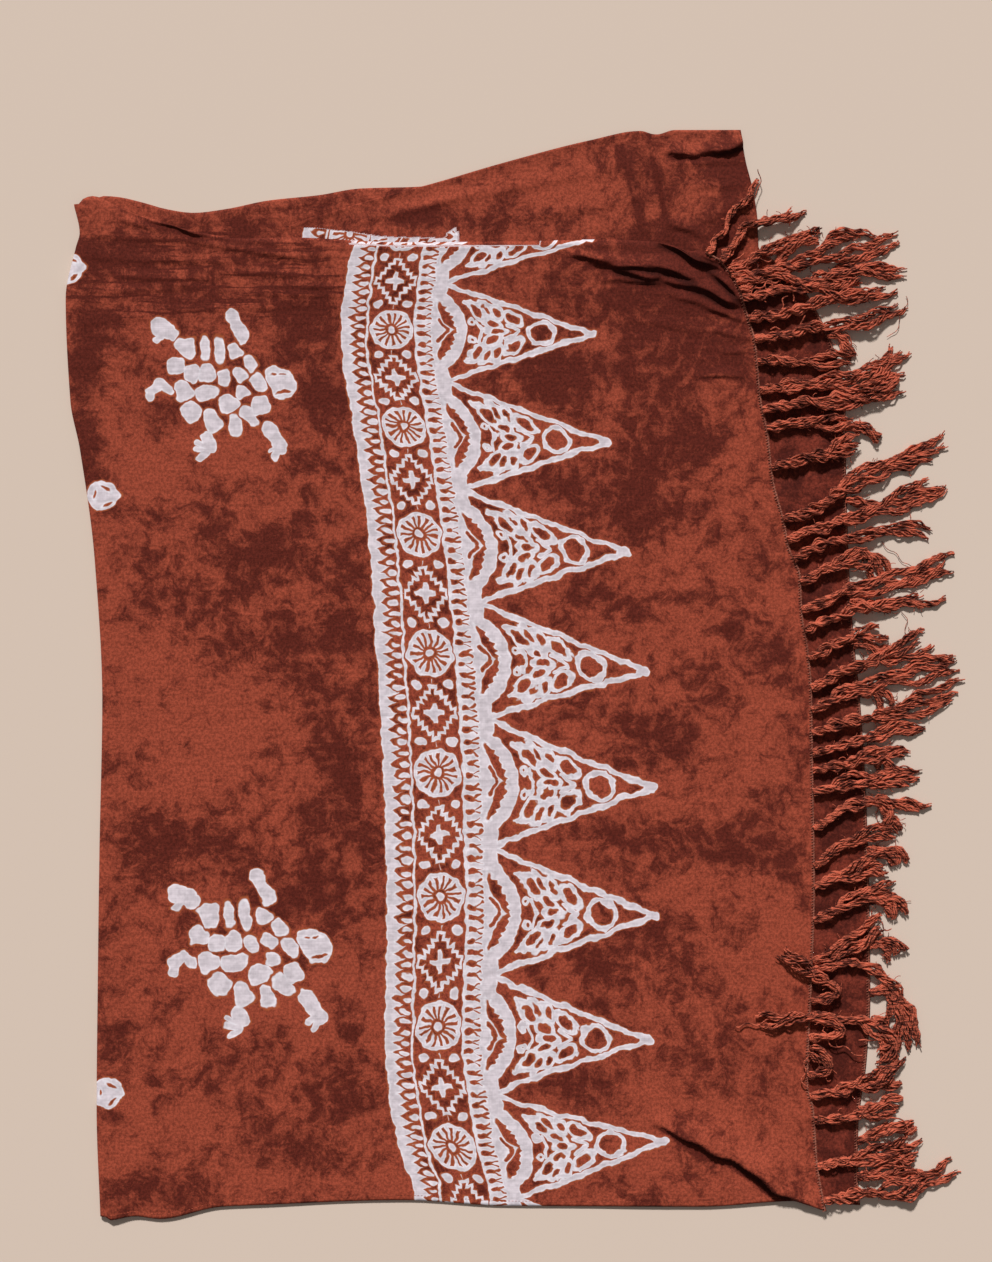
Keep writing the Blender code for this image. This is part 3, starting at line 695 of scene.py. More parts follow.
def turtle_group():
    inputs = {"Place": "Vector", "Wobble": "Vector"}
    tree, given, result = group_of("Turtle print", inputs, {"Distance": "Float"})
    place = given["Place"]
    x, y, _ = parts_of(tree, place)
    u = x * (1.0 / MM) + MIDDLE_U
    v = y * (1.0 / MM) + MIDDLE_V

    def above(line, high, low):
        return mix(tree, v.by("GREATER_THAN", line), low, high, "VECTOR")

    def shaken(about):
        about = vector(tree, "ADD", about, given["Wobble"])
        return vector(tree, "MULTIPLY", about, (1.0, 1.0, 0.0))

    top, low = [near(tree, place, row, row.turn, row.size) for row in TURTLES]
    flat = shaken(above(BETWEEN_TURTLES, top, low))
    plates = ovals(tree, flat, TURTLE_PLATES, squarish=True) + PLATE_GAP
    limbs = strokes(tree, flat, TURTLE_LIMBS) - 0.7
    head = head_shape(tree, flat, TURTLE_HEAD, HEAD_MARKS)
    whole = plates.lower(limbs).lower(head).upper(-(u - FOLD_MARGIN))

    top, middle, low = [near(tree, place, row) for row in FOLD_HEADS]
    by_fold = above(BETWEEN_HEADS[0], above(BETWEEN_HEADS[1], top, middle), low)
    part_heads = head_shape(tree, shaken(by_fold), FOLD_HEAD, FOLD_MARKS).upper(u - FOLD_MARGIN)
    fill(tree, result["Distance"], whole.lower(part_heads))
    return tree


DYE = dye_group()
WEAVE = weave_group()
BORDER = border_group()
TURTLE = turtle_group()

HALO = (0.42, 0.10, 0.035, 1.0)
PRINT_WHITE = (0.73, 0.645, 0.69, 1.0)
PRINT_RIM = (0.86, 0.80, 0.85, 1.0)
LIGHT_RUST = (0.330, 0.062, 0.032, 1.0)
DARK_RUST = (0.110, 0.017, 0.010, 1.0)
# Painted shade: darker copies of the rayon's colours, for cloth lying in shade and for the undersides.
SHADED_LIGHT = (0.200, 0.034, 0.019, 1.0)
SHADED_DARK = (0.080, 0.013, 0.008, 1.0)
PRINT_WOBBLE = 7.0


def new_material(name, constants):
    """A material with constants on its surface: also its tree, surface and places."""
    material = bpy.data.materials.new(name)
    material.use_nodes = True
    tree = material.node_tree
    surface = tree.nodes["Principled BSDF"].inputs
    for label, value in constants.items():
        surface[label].default_value = value
    return material, tree, surface, node(tree, "TexCoord").outputs["Object"]


def finish_surface(tree, surface, color, height):
    """Gives a surface its colour and a bump of a height in metres."""
    bump = node(tree, "Bump", {"Height": height, "Strength": 1.0, "Distance": 1.0})
    fill(tree, surface["Base Color"], color)
    fill(tree, surface["Normal"], bump.outputs["Normal"])


def uv(tree, label):
    return node(tree, "UVMap", uv_map=label).outputs["UV"]


def use(tree, group, values):
    return node(tree, "Group", values, node_tree=group).outputs


def cloth_material(name, light, dark, pattern=None):
    """Dyed rayon, plain or with a part of the white print on it."""
    material, tree, surface, place = new_material(name, {
        "Roughness": 0.86, "Specular IOR Level": 0.12,
        "Sheen Weight": 0.04, "Sheen Roughness": 0.45, "Sheen Tint": (0.9, 0.55, 0.45, 1.0),
    })
    dye = use(tree, DYE, {"Place": place, "Light": light, "Dark": dark, "Amount": uv(tree, "Dye")})
    weave = use(tree, WEAVE, {"Place": place})
    color = dye["Color"]
    if pattern:
        values = {"Wobble": scaled(tree, wander(tree, place, 75.0, 0.42), PRINT_WOBBLE)}
        if pattern == BORDER:
            values.update({"Print": uv(tree, "Print"), "Band": uv(tree, "Band")})
        else:
            values["Place"] = place
        away = Drawn(tree, use(tree, pattern, values)["Distance"])
        color = mix(tree, away.ramp(0.6, 2.0, 0.85, 0.0), color, HALO)
        white = mix(tree, away.ramp(-2.2, -0.4), PRINT_WHITE, PRINT_RIM)
        worn = scaled(tree, white, noise(tree, place, 90.0, 2.0, 0.7).ramp(0.35, 0.65, 0.88, 1.06))
        color = mix(tree, away.ramp(0.45, -0.45), color, worn)
    crumple = noise(tree, place, 26.0, 3.0, 0.64)
    streaks = drawn_out(tree, place, (14.0, 150.0))
    height = Drawn(tree, weave["Height"]) * 0.0001 + crumple * 0.0022 + streaks * 0.00042
    finish_surface(tree, surface, scaled(tree, color, weave["Tint"]), height)
    return material


CLOTH_MATERIALS = [
    # painted shade: this material puts darker colours on the back layer's shaded cloth and on every underside
    cloth_material("rayon in painted shade", SHADED_LIGHT, SHADED_DARK),
    cloth_material("dyed rayon, face", LIGHT_RUST, DARK_RUST),
    cloth_material("border print", LIGHT_RUST, DARK_RUST, BORDER),
    cloth_material("turtle print", LIGHT_RUST, DARK_RUST, TURTLE),
]
PAINTED_SHADE_CLOTH, PLAIN_FACE, BORDER_FACE, TURTLE_FACE = range(4)


def print_zones(u, v, across):
    """Which part of the print each cell of a sheet's face carries."""
    cell_u, cell_v, cell_p = ((value[:-1, :-1] + value[1:, 1:]) / 2.0 for value in (u, v, across))
    zones = np.full(cell_u.shape, PLAIN_FACE)
    for row in TURTLES:
        beside_it = abs(cell_u - row.u) < TURTLE_HALF_LONG
        zones[beside_it & (abs(cell_v - row.v) < TURTLE_HALF_WIDE)] = TURTLE_FACE
    for row in FOLD_HEADS:
        zones[(cell_u < FOLD_MARGIN) & (abs(cell_v - row.v) < HEAD_HALF)] = TURTLE_FACE
    zones[(cell_p > -BORDER_BEFORE) & (cell_p < TIP_REACH + BORDER_PAST)] = BORDER_FACE
    return zones


def face_up(u, v, height, rows=()):
    """A sheet's upper face: its plan places, with the folds in it leant over.

    The leaning fades towards the sheet's left, right and lower edges.
    """
    across, up = np.meshgrid(*(np.linspace(0.0, 1.0, count) for count in u.shape), indexing="ij")
    inside = eased(np.minimum(np.minimum(across, across[::-1]), up) * LEAN_FADES)
    shift = creased(rows, u, v) * inside
    return np.array((u + shift[0], v + shift[1], np.maximum(height, SHELL + 0.05)))


back_left = table("v u", *[
    (v, float(smooth(FOLD, v)) + BACK_INSET)
    for v in [BACK_LEFT_LOW] + [row.v for row in FOLD[1:-1]] + [BACK_LEFT_HIGH]
])
s, t = np.meshgrid(spaced((0.85, 70), (1.0, 40)), spaced((0.85, 100), (1.0, 50)), indexing="ij")
back_u, back_v = laid_out(back_left, BACK_END, BACK_BOTTOM, BACK_TOP, s, t)
back_height = CLOTH + creased(BACK_CREASES, back_u, back_v)[2]
back_across, back_print, back_band = print_maps(back_u, back_v)
# Painted shade: below the face-up margin, the back layer's top gets the darker rayon and more dye.
back_face_up = back_v > FACE_UP_FROM
back_dye_and_shade = dye_and_shade_map(back_u, back_v, BACK_CREASES, np.where(back_face_up, 0.0, PAINTED_SHADE_AMOUNT))
back = sheet_object(
    "back_cloth", face_up(back_u, back_v, back_height),
    {"Print": back_print, "Band": back_band, "Dye": back_dye_and_shade},
    np.where(back_face_up[1:, 1:], PLAIN_FACE, PAINTED_SHADE_CLOTH), print_zones(back_u, back_v, back_across),
    CLOTH_MATERIALS,
)
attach(back, "root")
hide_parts("back_layer")

# Turned-over flap: the back layer's top margin, folded over on itself at the photo's top.
# It is the same rayon, lying in a soft upright pleat and a few pressed creases.
FLAP_BASE = 1.5
FLAP_LEFT = table("v u", (1024, 190), (1050, 190))
FLAP_BOTTOM = table("u v", (190, 1024), (440, 1015), (600, 1010), (705, 1010))
FLAP_TOP = table(
    "u v",
    (190, 1050), (214, 1062), (246, 1072), (310, 1091), (353, 1102), (428, 1124), (524, 1149), (578, 1159),
    (594, 1155), (615, 1160), (685, 1160),
)
FLAP_END = table("v u", (1010, 705), (1038, 704), (1065, 703), (1097, 698), (1129, 690), (1160, 685))
FRONT_TOP = table(
    "u v",
    (-27, 1080), (-7, 1089), (25, 1076), (46, 1068), (78, 1060), (111, 1050), (149, 1044), (203, 1045),
    (321, 1040), (449, 1041), (535, 1043), (599, 1040), (642, 1030),
)
FLAP_CREASES = table(
    "u0 v0 u1 v1 height below above",
    (562, 1160, 590, 1040, 3.6, 12, 4), (590, 1166, 612, 1040, 3.4, 6, 4),
    (592, 1164, 610, 1050, 2.4, 1.4, 4), (604, 1139, 642, 1132, 5.0, 1.6, 9),
    (630, 1133, 712, 1147, 7.0, 1.6, 10), (600, 1122, 700, 1128, 1.4, 2, 5),
    (330, 1074, 560, 1122, 1.4, 5, 9), (430, 1062, 600, 1090, 1.2, 4, 8),
    (260, 1056, 420, 1098, 1.0, 3, 6), (620, 1098, 700, 1102, 1.0, 2.5, 5),
    (300, 1062, 420, 1098, 0.8, 4, 7), (606, 1062, 650, 1044, 3.4, 3, 9),
    (640, 1060, 700, 1090, 1.8, 5, 8),
)
# The strip of print seen above the front layer: how high it is, and its part of the border.
STRIP_HEIGHT = table(
    "u height", (203, 11), (222, 12), (270, 9.5), (300, 6.5), (369, 4.5), (372, 10), (381, 17), (385, 0),
)
STRIP_SPAN = (202, 392)
STRIP_CELLS = (198, 400)
STRIP_CELLS_BELOW = 1075
STRIP_SHIFT = 66.0


def flap_height(u, v):
    clear = eased((v - smooth(FRONT_TOP, u) - 1.0) / 10.0)
    fold = 0.9 * np.exp(-((smooth(FLAP_TOP, u) - v) / 5.0) ** 2)
    return FLAP_BASE + CLOTH + clear * (creased(FLAP_CREASES, u, v)[2] + fold)


def between(limits, u):
    return (u > limits[0]) & (u < limits[1])


s, t = np.meshgrid(spaced((1.0, 200)), spaced((1.0, 62)), indexing="ij")
flap_u, flap_v = laid_out(FLAP_LEFT, FLAP_END, FLAP_BOTTOM, FLAP_TOP, s, t)
_, flap_print, flap_band = print_maps(flap_u, flap_v)
strip_top = smooth(FRONT_TOP, flap_u) + np.interp(flap_u, *zip(*STRIP_HEIGHT))
in_strip = between(STRIP_SPAN, flap_u) & (flap_v < strip_top)
flap_print[0] = np.where(in_strip, flap_print[0] + STRIP_SHIFT, NO_PRINT)
flap_band[0] = flap_print[0]
flap_zones = np.full((s.shape[0] - 1, s.shape[1] - 1), PLAIN_FACE)
flap_zones[between(STRIP_CELLS, flap_u[1:, 1:]) & (flap_v[:-1, :-1] < STRIP_CELLS_BELOW)] = BORDER_FACE
flap = sheet_object(
    "flap_cloth", face_up(flap_u, flap_v, flap_height(flap_u, flap_v), FLAP_CREASES),
    {"Print": flap_print, "Band": flap_band, "Dye": dye_and_shade_map(flap_u, flap_v, FLAP_CREASES)},
    flap_zones, np.full(flap_zones.shape, PAINTED_SHADE_CLOTH), CLOTH_MATERIALS,
)
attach(flap, "root")
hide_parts("top_flap")

# Front layer: the upper half of the cloth, from the rounded fold at the left to its fringed
# end. Its top margin is rolled under along a soft edge, and its corner lies in deep creases.
FRONT_BASE = 1.5
FRONT_ON_FLAP = 3.0
FRONT_BOTTOM = table(
    "u v",
    (1, 0), (8, -4), (38, 0), (65, -3), (130, 10), (175, 12), (324, 17), (429, 11), (642, 10), (741, 16),
    (776, 6),
)
FRONT_END = table(
    "v u",
    (6, 776), (58, 768), (114, 764), (139, 758), (275, 763), (349, 765), (490, 763), (561, 762),
    (606, 758), (642, 752), (683, 750), (714, 738), (740, 733), (786, 721), (837, 715), (871, 708),
    (932, 702), (967, 692), (989, 684), (1017, 666), (1030, 642),
)
FRONT_CREASES = table(
    "u0 v0 u1 v1 height below above",
    (18, 1079, 60, 1064, 3.4, 1.6, 7), (46, 1067, 114, 1046, 5.0, 1.6, 8),
    (20, 1064, 70, 1050, 1.6, 1.8, 6), (60, 1056, 210, 1033, 1.8, 2.0, 6),
    (-15, 1046, 120, 1040, 1.5, 2.4, 6), (100, 1040, 235, 1018, 2.0, 2.0, 6),
    (-15, 1022, 150, 1018, 1.6, 2.2, 6), (10, 1003, 130, 1000, 2.2, 2.0, 6),
    (60, 995, 110, 993, 1.4, 1.8, 4), (-20, 985, 110, 991, 1.4, 2.4, 6),
    (120, 1008, 260, 1001, 1.7, 2.0, 6), (60, 966, 220, 972, 1.0, 3, 7),
    (150, 1026, 270, 1024, 1.2, 1.8, 5), (190, 994, 262, 990, 1.6, 1.8, 5),
    (140, 985, 270, 982, 1.1, 2.4, 6), (-25, 955, 90, 962, 0.9, 4, 8), (500, 1026, 552, 1018, 4.6, 1.8, 7),
    (526, 1022, 552, 1020, 2.0, 1.6, 4), (516, 1020, 624, 1008, 5.6, 2.0, 8),
    (546, 1013, 600, 1001, 7.0, 1.9, 7), (582, 1018, 642, 1001, 7.0, 2.2, 9),
    (586, 1048, 674, 1008, 8.6, 3.0, 7), (626, 1034, 676, 1014, 5.0, 2.0, 5),
    (650, 1012, 694, 972, 6.0, 2.4, 7), (536, 1001, 604, 995, 3.4, 1.8, 6),
    (590, 1004, 642, 990, 4.4, 2.0, 6), (630, 1000, 686, 970, 8.6, 3.4, 7),
    (640, 974, 692, 956, 3.6, 2.2, 7), (604, 986, 650, 972, 2.6, 2.0, 6),
    (650, 946, 686, 938, 2.2, 1.8, 6), (630, 898, 690, 896, 2.4, 1.6, 6),
    (660, 921, 696, 924, 2.0, 1.6, 5), (670, 880, 700, 874, 1.2, 2, 5), (560, 960, 660, 940, 1.2, 3, 9),
    (690, 840, 725, 834, 1.4, 2, 5), (700, 770, 738, 766, 1.0, 2, 5), (720, 600, 756, 592, 1.2, 2, 5),
    (716, 480, 760, 486, 1.0, 2, 5), (730, 330, 762, 322, 1.0, 2, 5), (590, 102, 656, 74, 5.6, 2.0, 14),
    (622, 90, 728, 36, 9.0, 2.6, 24), (676, 63, 792, -10, 9.6, 2.6, 24), (30, 830, 120, 812, 0.8, 4, 10),
    (60, 330, 180, 352, 0.8, 4, 10), (640, 640, 740, 612, 0.8, 4, 10), (240, 1034, 420, 1033, 1.4, 1.8, 4),
    (420, 1036, 560, 1036, 1.4, 1.8, 4),
)
# Where the fringe's knots draw the cloth up, along the end.
PUCKERS = (18, 54, 103, 150, 190, 230, 273, 316, 352, 374, 414, 453, 476, 494, 516, 540, 564, 596, 626, 647,
           677, 702, 722, 744, 799, 842, 861, 882, 912, 936, 958, 980, 996, 1008)
PUCKER_LONG = 15.0
# The rounded fold: how far in from its outermost line, and the share of the layer's height.
FOLD_ROUND = table(
    "inset share",
    (3.4, 0.17), (1.4, 0.19), (0.35, 0.30), (0.0, 0.46), (0.35, 0.64), (1.5, 0.80), (3.4, 0.91),
    (6.0, 0.98),
)
FOLD_INSIDE = 8.0
FOLD_PUFF = 3.1
FOLD_CREST = 9.0
FOLD_WIDTH = 22.0
ROLL_HEIGHT = 3.2
ROLL_RISE = 3.0
ROLL_WIDTH = 40.0
RIPPLE = 0.6
SMALL_RIPPLE = 0.25
# Where the front layer begins to climb onto the flap.
FLAP_FROM_V = 955.0
FLAP_FROM_U = 150.0
# The rolled edge at the top: how wide it is, and the part of the border that runs along it.
ROLLED_WIDTH = 4.5
ROLLED_SHIFT = 140.0
ROLLED_PRINT = (270, 470)


def front_height(u, v):
    """Height of the front layer's upper face."""
    on_flap = eased((v - FLAP_FROM_V) / 40.0) * eased((u - FLAP_FROM_U) / 35.0)
    base = FRONT_BASE + (FRONT_ON_FLAP - FRONT_BASE) * on_flap
    puff = FOLD_PUFF * np.exp(-(((u - smooth(FOLD, v) - FOLD_CREST) / FOLD_WIDTH) ** 2))
    from_top = np.maximum(smooth(FRONT_TOP, u) - v, 0.0)
    roll = ROLL_HEIGHT * (1.0 - np.exp(-from_top / ROLL_RISE)) * np.exp(-from_top / ROLL_WIDTH)
    from_end = smooth(FRONT_END, v) - u
    ripple = RIPPLE * (1.0 + np.sin(u / 95.0 + 0.6) * np.sin(v / 140.0 + 1.1)) * eased(from_end / 60.0)
    crumple = np.sin(u / 31.0 + v / 57.0) * np.sin(v / 43.0 - u / 71.0 + 2.0)
    ripple += SMALL_RIPPLE * crumple * eased(from_end / 40.0)
    drawn = np.zeros_like(u)
    for number, root in enumerate(PUCKERS):
        fan = (v - root) - (number % 3 - 1) * 0.22 * from_end
        size = 1.2 + 0.5 * (number % 2)
        drawn += size * np.exp(-((fan / (2.4 + from_end * 0.09)) ** 2)) * np.exp(-from_end / PUCKER_LONG)
    drawn = drawn * eased(from_end / 3.0)
    return base + CLOTH + puff + roll + ripple + drawn + creased(FRONT_CREASES, u, v)[2]


s, t = np.meshgrid(
    np.append(np.zeros(len(FOLD_ROUND)), spaced((0.62, 82), (0.95, 68), (1.0, 15))[2:]),
    spaced((0.11, 46), (0.85, 126), (1.0, 84)), indexing="ij",
)
front_u, front_v = laid_out(FOLD, FRONT_END, FRONT_BOTTOM, FRONT_TOP, s, t)
for k, row in enumerate(FOLD_ROUND):
    front_u[k] += row.inset
front_z = front_height(front_u, front_v)
for k, row in enumerate(FOLD_ROUND):
    inside = front_height(front_u[k] - row.inset + FOLD_INSIDE, front_v[k])
    front_z[k] = np.maximum(inside * row.share, SHELL + 0.1)
front_across, front_print, front_band = print_maps(front_u, front_v)
rolled = smooth(FRONT_TOP, front_u) - front_v < ROLLED_WIDTH
front_print[0] += np.where(rolled & (front_u < ROLLED_PRINT[1]), ROLLED_SHIFT, 0.0)
front_print[0] = np.where(rolled & (front_u < ROLLED_PRINT[0]), NO_PRINT, front_print[0])
front_band[0] = front_print[0]
front_zones = print_zones(front_u, front_v, front_across)
front = sheet_object(
    "front_cloth", face_up(front_u, front_v, front_z, FRONT_CREASES),
    {"Print": front_print, "Band": front_band, "Dye": dye_and_shade_map(front_u, front_v, FRONT_CREASES)},
    front_zones, np.full(front_zones.shape, PAINTED_SHADE_CLOTH), CLOTH_MATERIALS,
)
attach(front, "root")
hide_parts("front_layer")

# Fringe: the warp ends of each short side, knotted at the cloth's edge, twisted into cords
# and left to open into crimped yarn. The edge itself is rolled and overcast by hand.
ROOT_INSET = 1.5
ROOT_SUNK = 1.5
ROOT_SEEN_FROM = 6.0
# The heights that tassels lie at.
OVER_BACK = 3.4
OVER_FRONT = 5.6
ON_FLOOR = 0.5
# Each tassel: its root's height up the edge, three places on its path and its number of ropes.
FRONT_TASSELS = table(
    "root u1 v1 u2 v2 u3 v3 locks",
    (18, 813, 24, 867, 32, 921, 56, 3), (54, 803, 61, 845, 70, 883, 82, 3),
    (103, 797, 106, 826, 112, 859, 118, 2), (150, 777, 159, 768, 174, 747, 179, 2),
    (190, 790, 200, 757, 213, 681, 209, 2), (230, 786, 240, 764, 260, 725, 284, 2),
    (128, 800, 138, 835, 150, 862, 168, 3), (214, 812, 208, 846, 186, 816, 160, 2),
    (262, 806, 272, 848, 240, 842, 178, 2), (273, 794, 286, 819, 300, 845, 318, 3),
    (316, 797, 332, 826, 346, 852, 348, 3), (352, 797, 366, 829, 377, 852, 371, 3),
    (374, 797, 397, 829, 411, 862, 407, 2), (414, 800, 437, 840, 443, 891, 433, 2),
    (453, 797, 463, 835, 467, 880, 468, 3), (476, 803, 485, 840, 495, 878, 493, 2),
    (494, 803, 507, 845, 517, 902, 525, 2), (516, 803, 529, 856, 540, 936, 568, 3),
    (540, 797, 559, 845, 573, 919, 594, 3), (564, 792, 580, 835, 596, 899, 622, 3),
    (596, 790, 612, 818, 622, 843, 626, 2), (626, 792, 642, 845, 654, 907, 663, 2),
    (647, 792, 664, 845, 678, 921, 699, 3), (677, 781, 692, 811, 702, 832, 708, 3),
    (702, 781, 719, 845, 733, 897, 727, 2), (722, 781, 739, 835, 756, 910, 786, 3),
    (744, 768, 757, 815, 789, 910, 826, 3), (799, 749, 808, 790, 818, 822, 831, 3),
    (842, 749, 846, 790, 848, 816, 848, 2), (861, 760, 868, 813, 874, 878, 896, 3),
    (882, 760, 889, 820, 896, 865, 936, 3), (912, 749, 913, 783, 913, 812, 918, 2),
    (936, 749, 945, 803, 953, 869, 976, 2), (958, 738, 966, 792, 980, 861, 992, 2),
    (980, 745, 991, 815, 1008, 880, 1006, 2), (988, 752, 1022, 796, 1046, 838, 1036, 2),
    (1004, 730, 1002, 785, 986, 832, 1000, 2), (996, 738, 1013, 822, 1031, 859, 1052, 2),
    (1008, 712, 1030, 747, 1041, 775, 1042, 2), (1018, 687, 1051, 722, 1063, 758, 1080, 2),
    (1026, 666, 1058, 691, 1084, 712, 1110, 1),
)
# The roots of the tassels that lie back over the front layer.
ON_FRONT = (150, 190, 230)
BACK_TASSELS = table(
    "root u1 v1 u2 v2 u3 v3 locks",
    (43, 833, 44, 856, 50, 880, 57, 3), (80, 829, 88, 854, 97, 880, 99, 2),
    (114, 830, 118, 843, 123, 858, 118, 2), (139, 834, 143, 844, 144, 855, 149, 2),
    (206, 836, 210, 845, 192, 840, 164, 2), (238, 842, 242, 861, 220, 862, 172, 3),
    (289, 836, 291, 846, 288, 852, 277, 3), (337, 838, 338, 848, 332, 852, 316, 3),
    (391, 838, 391, 848, 386, 855, 371, 3), (444, 834, 441, 842, 429, 844, 408, 3),
    (498, 830, 496, 838, 487, 841, 470, 3), (556, 828, 558, 838, 551, 846, 536, 2),
    (610, 824, 608, 834, 604, 850, 604, 2), (658, 822, 655, 838, 650, 856, 643, 2),
    (706, 819, 706, 831, 698, 837, 680, 3), (765, 813, 762, 824, 757, 842, 754, 2),
    (842, 815, 841, 826, 836, 840, 829, 2), (872, 817, 876, 833, 887, 847, 906, 3),
    (942, 794, 938, 801, 927, 807, 914, 2), (995, 776, 1002, 797, 1007, 824, 1005, 3),
    (1018, 738, 1033, 755, 1045, 779, 1050, 2),
)
# How far out the back layer and its fringe lie under the front layer's tassels.
BACK_REACH = table(
    "v u",
    (0, 888), (70, 888), (110, 868), (240, 870), (330, 860), (450, 856), (600, 862), (700, 850),
    (850, 848), (930, 852), (1005, 834), (1050, 790), (1090, 730), (1120, 712),
)
DROP_LENGTH = 30.0
DROP_EARLY = 28.0
DROPPED_TO = 0.3
FLATTENED = 0.42
RISE_LENGTH = 14.0
PATH_LEADS_IN = 12.0
PATH_ENDS = 3.36
PATH_STEPS = 160
YARN = 1.08
YARNS_PER_ROPE = 9
POINT_STEP = 2.9
ROPE_RADIUS = 2.1
ROPE_PITCH = 62.0
TWINE_PITCH = 30.0
TWINE_SHARE = 0.40
TWINE_UNDONE = 16.0
# A rope's quick and slow bends: how wide and how long they may be.
ROPE_BENDS = (((1.0, 2.6), (5.0, 9.0)), ((1.0, 3.0), (14.0, 20.0)))
TWINE_OFF = 2.6
LOCK_GAP = 5.0
LOCKS_OPEN = 4.5
KNOT = 3.0
KNOT_TURNS = 2.3
KNOT_SPAN = (3.0, 7.5)
KNOT_POINTS = 22
KNOT_YARN = 1.1
YARN_TAPER = 0.45
LOOSE_PER_LOCK = 9
LOOSE_YARN = 0.36
THREAD_STEP = 1.7
# Loose threads: where each starts, which way it runs (degrees), how long and how curly it is.
STRAYS = table(
    "u v way long bend radius",
    (861, 984, -75, 56, 0.9, 0.36), (835, 722, -50, 46, 0.9, 0.36), (813, 620, -25, 32, 1.2, 0.36),
    (856, 647, -70, 36, 1.0, 0.36), (700, 1085, 60, 34, 0.8, 0.5), (660, 1000, 40, 60, 1.6, 0.8),
    (680, 985, 10, 70, 1.8, 0.8), (700, 1005, -20, 60, 1.8, 0.8), (720, 1030, 30, 46, 1.8, 0.8),
    (690, 960, 0, 70, 1.6, 0.8), (715, 945, -10, 60, 1.8, 0.8), (740, 975, 60, 50, 1.8, 0.8),
    (735, 1000, 200, 50, 1.6, 0.8), (700, 1020, 250, 46, 1.6, 0.8), (760, 1015, -60, 40, 1.8, 0.7),
    (668, 1015, -30, 60, 1.6, 0.8), (790, 840, 30, 30, 1.6, 0.6), (800, 690, -20, 30, 1.8, 0.6),
    (820, 560, -40, 34, 1.6, 0.6), (830, 430, -60, 36, 1.8, 0.6), (825, 330, -70, 40, 1.6, 0.7),
    (770, 200, -80, 60, 1.2, 0.8), (755, 180, -60, 50, 1.4, 0.8), (720, 210, 200, 46, 1.0, 0.8),
    (840, 225, -90, 60, 1.0, 0.9), (835, 120, -30, 50, 1.4, 0.8), (815, 80, 20, 60, 1.4, 0.8),
    (850, 60, -40, 50, 1.6, 0.8), (870, 90, 200, 50, 1.4, 0.8), (790, 60, -20, 60, 1.4, 0.8),
)
STRAY_OVER_BACK = 7.0
STRAY_ON_FLOOR = 1.5
STRAY_CLEAR = 15.0


def yarn_material(name, light, dark):
    """Loose rayon yarn: dyed unevenly along its length, with a fuzzy, twisted surface."""
    material, tree, surface, place = new_material(name, {
        "Roughness": 0.85, "Specular IOR Level": 0.15,
        "Sheen Weight": 0.08, "Sheen Tint": (0.95, 0.6, 0.45, 1.0),
    })
    patch = noise(tree, place, 45.0, 4.0, 0.65)
    strand = drawn_out(tree, place, (90.0, 560.0), 3.0, 0.65)
    color = mix(tree, (patch * 0.5 + strand * 0.9).ramp(0.54, 0.84), dark, light)
    finish_surface(tree, surface, color, noise(tree, place, 900.0, 2.0, 0.7) * 0.0009)
    return material


YARN_MATERIAL = yarn_material("fringe yarn", (0.68, 0.148, 0.080, 1.0), (0.060, 0.009, 0.006, 1.0))
EDGE_MATERIAL = yarn_material("overcast edge", (0.42, 0.15, 0.10, 1.0), (0.22, 0.055, 0.035, 1.0))


def add_yarn(curve, points, radius, taper=0.0):
    """One yarn through points in millimetres, its last tenth thinner by a share."""
    spline = curve.splines.new("POLY")
    count = len(points)
    spline.points.add(count - 1)
    for k, (point, (u, v, z)) in enumerate(zip(spline.points, points)):
        point.co = (*in_scene(u, v, max(z, radius + 0.05)), 1.0)
        point.radius = radius * (1.0 - taper * max(k / count - 0.9, 0.0) / 0.1)


def tassel_line(tassel, start):
    """Plan places along a tassel, evenly spaced, with the direction and distance travelled."""
    knots = np.array([
        (start[0] - PATH_LEADS_IN, start[1]), start,
        (tassel.u1, tassel.v1), (tassel.u2, tassel.v2), (tassel.u3, tassel.v3),
    ], float)
    knots = np.vstack((knots, 2 * knots[-1] - knots[-2]))
    line = []
    for place in np.linspace(0.0, PATH_ENDS, PATH_STEPS):
        k = min(int(place), 2)
        f = place - k
        a, b, c, d = knots[k:k + 4]
        squared = (2 * a - 5 * b + 4 * c - d) * f * f
        cubed = (3 * b - a - 3 * c + d) * f**3
        line.append(0.5 * (2 * b + (c - a) * f + squared + cubed))
    line = np.array(line)
    run = np.append(0.0, np.cumsum(np.hypot(*np.diff(line, axis=0).T)))
    length = run[int(PATH_STEPS / PATH_ENDS * 3) - 1]
    places = np.arange(0.0, run[-1], POINT_STEP)
    u = np.interp(places, run, line[:, 0])
    v = np.interp(places, run, line[:, 1])
    ahead = np.stack((np.gradient(u), np.gradient(v)))
    ahead /= np.hypot(*ahead)
    return u, v, ahead, places, length


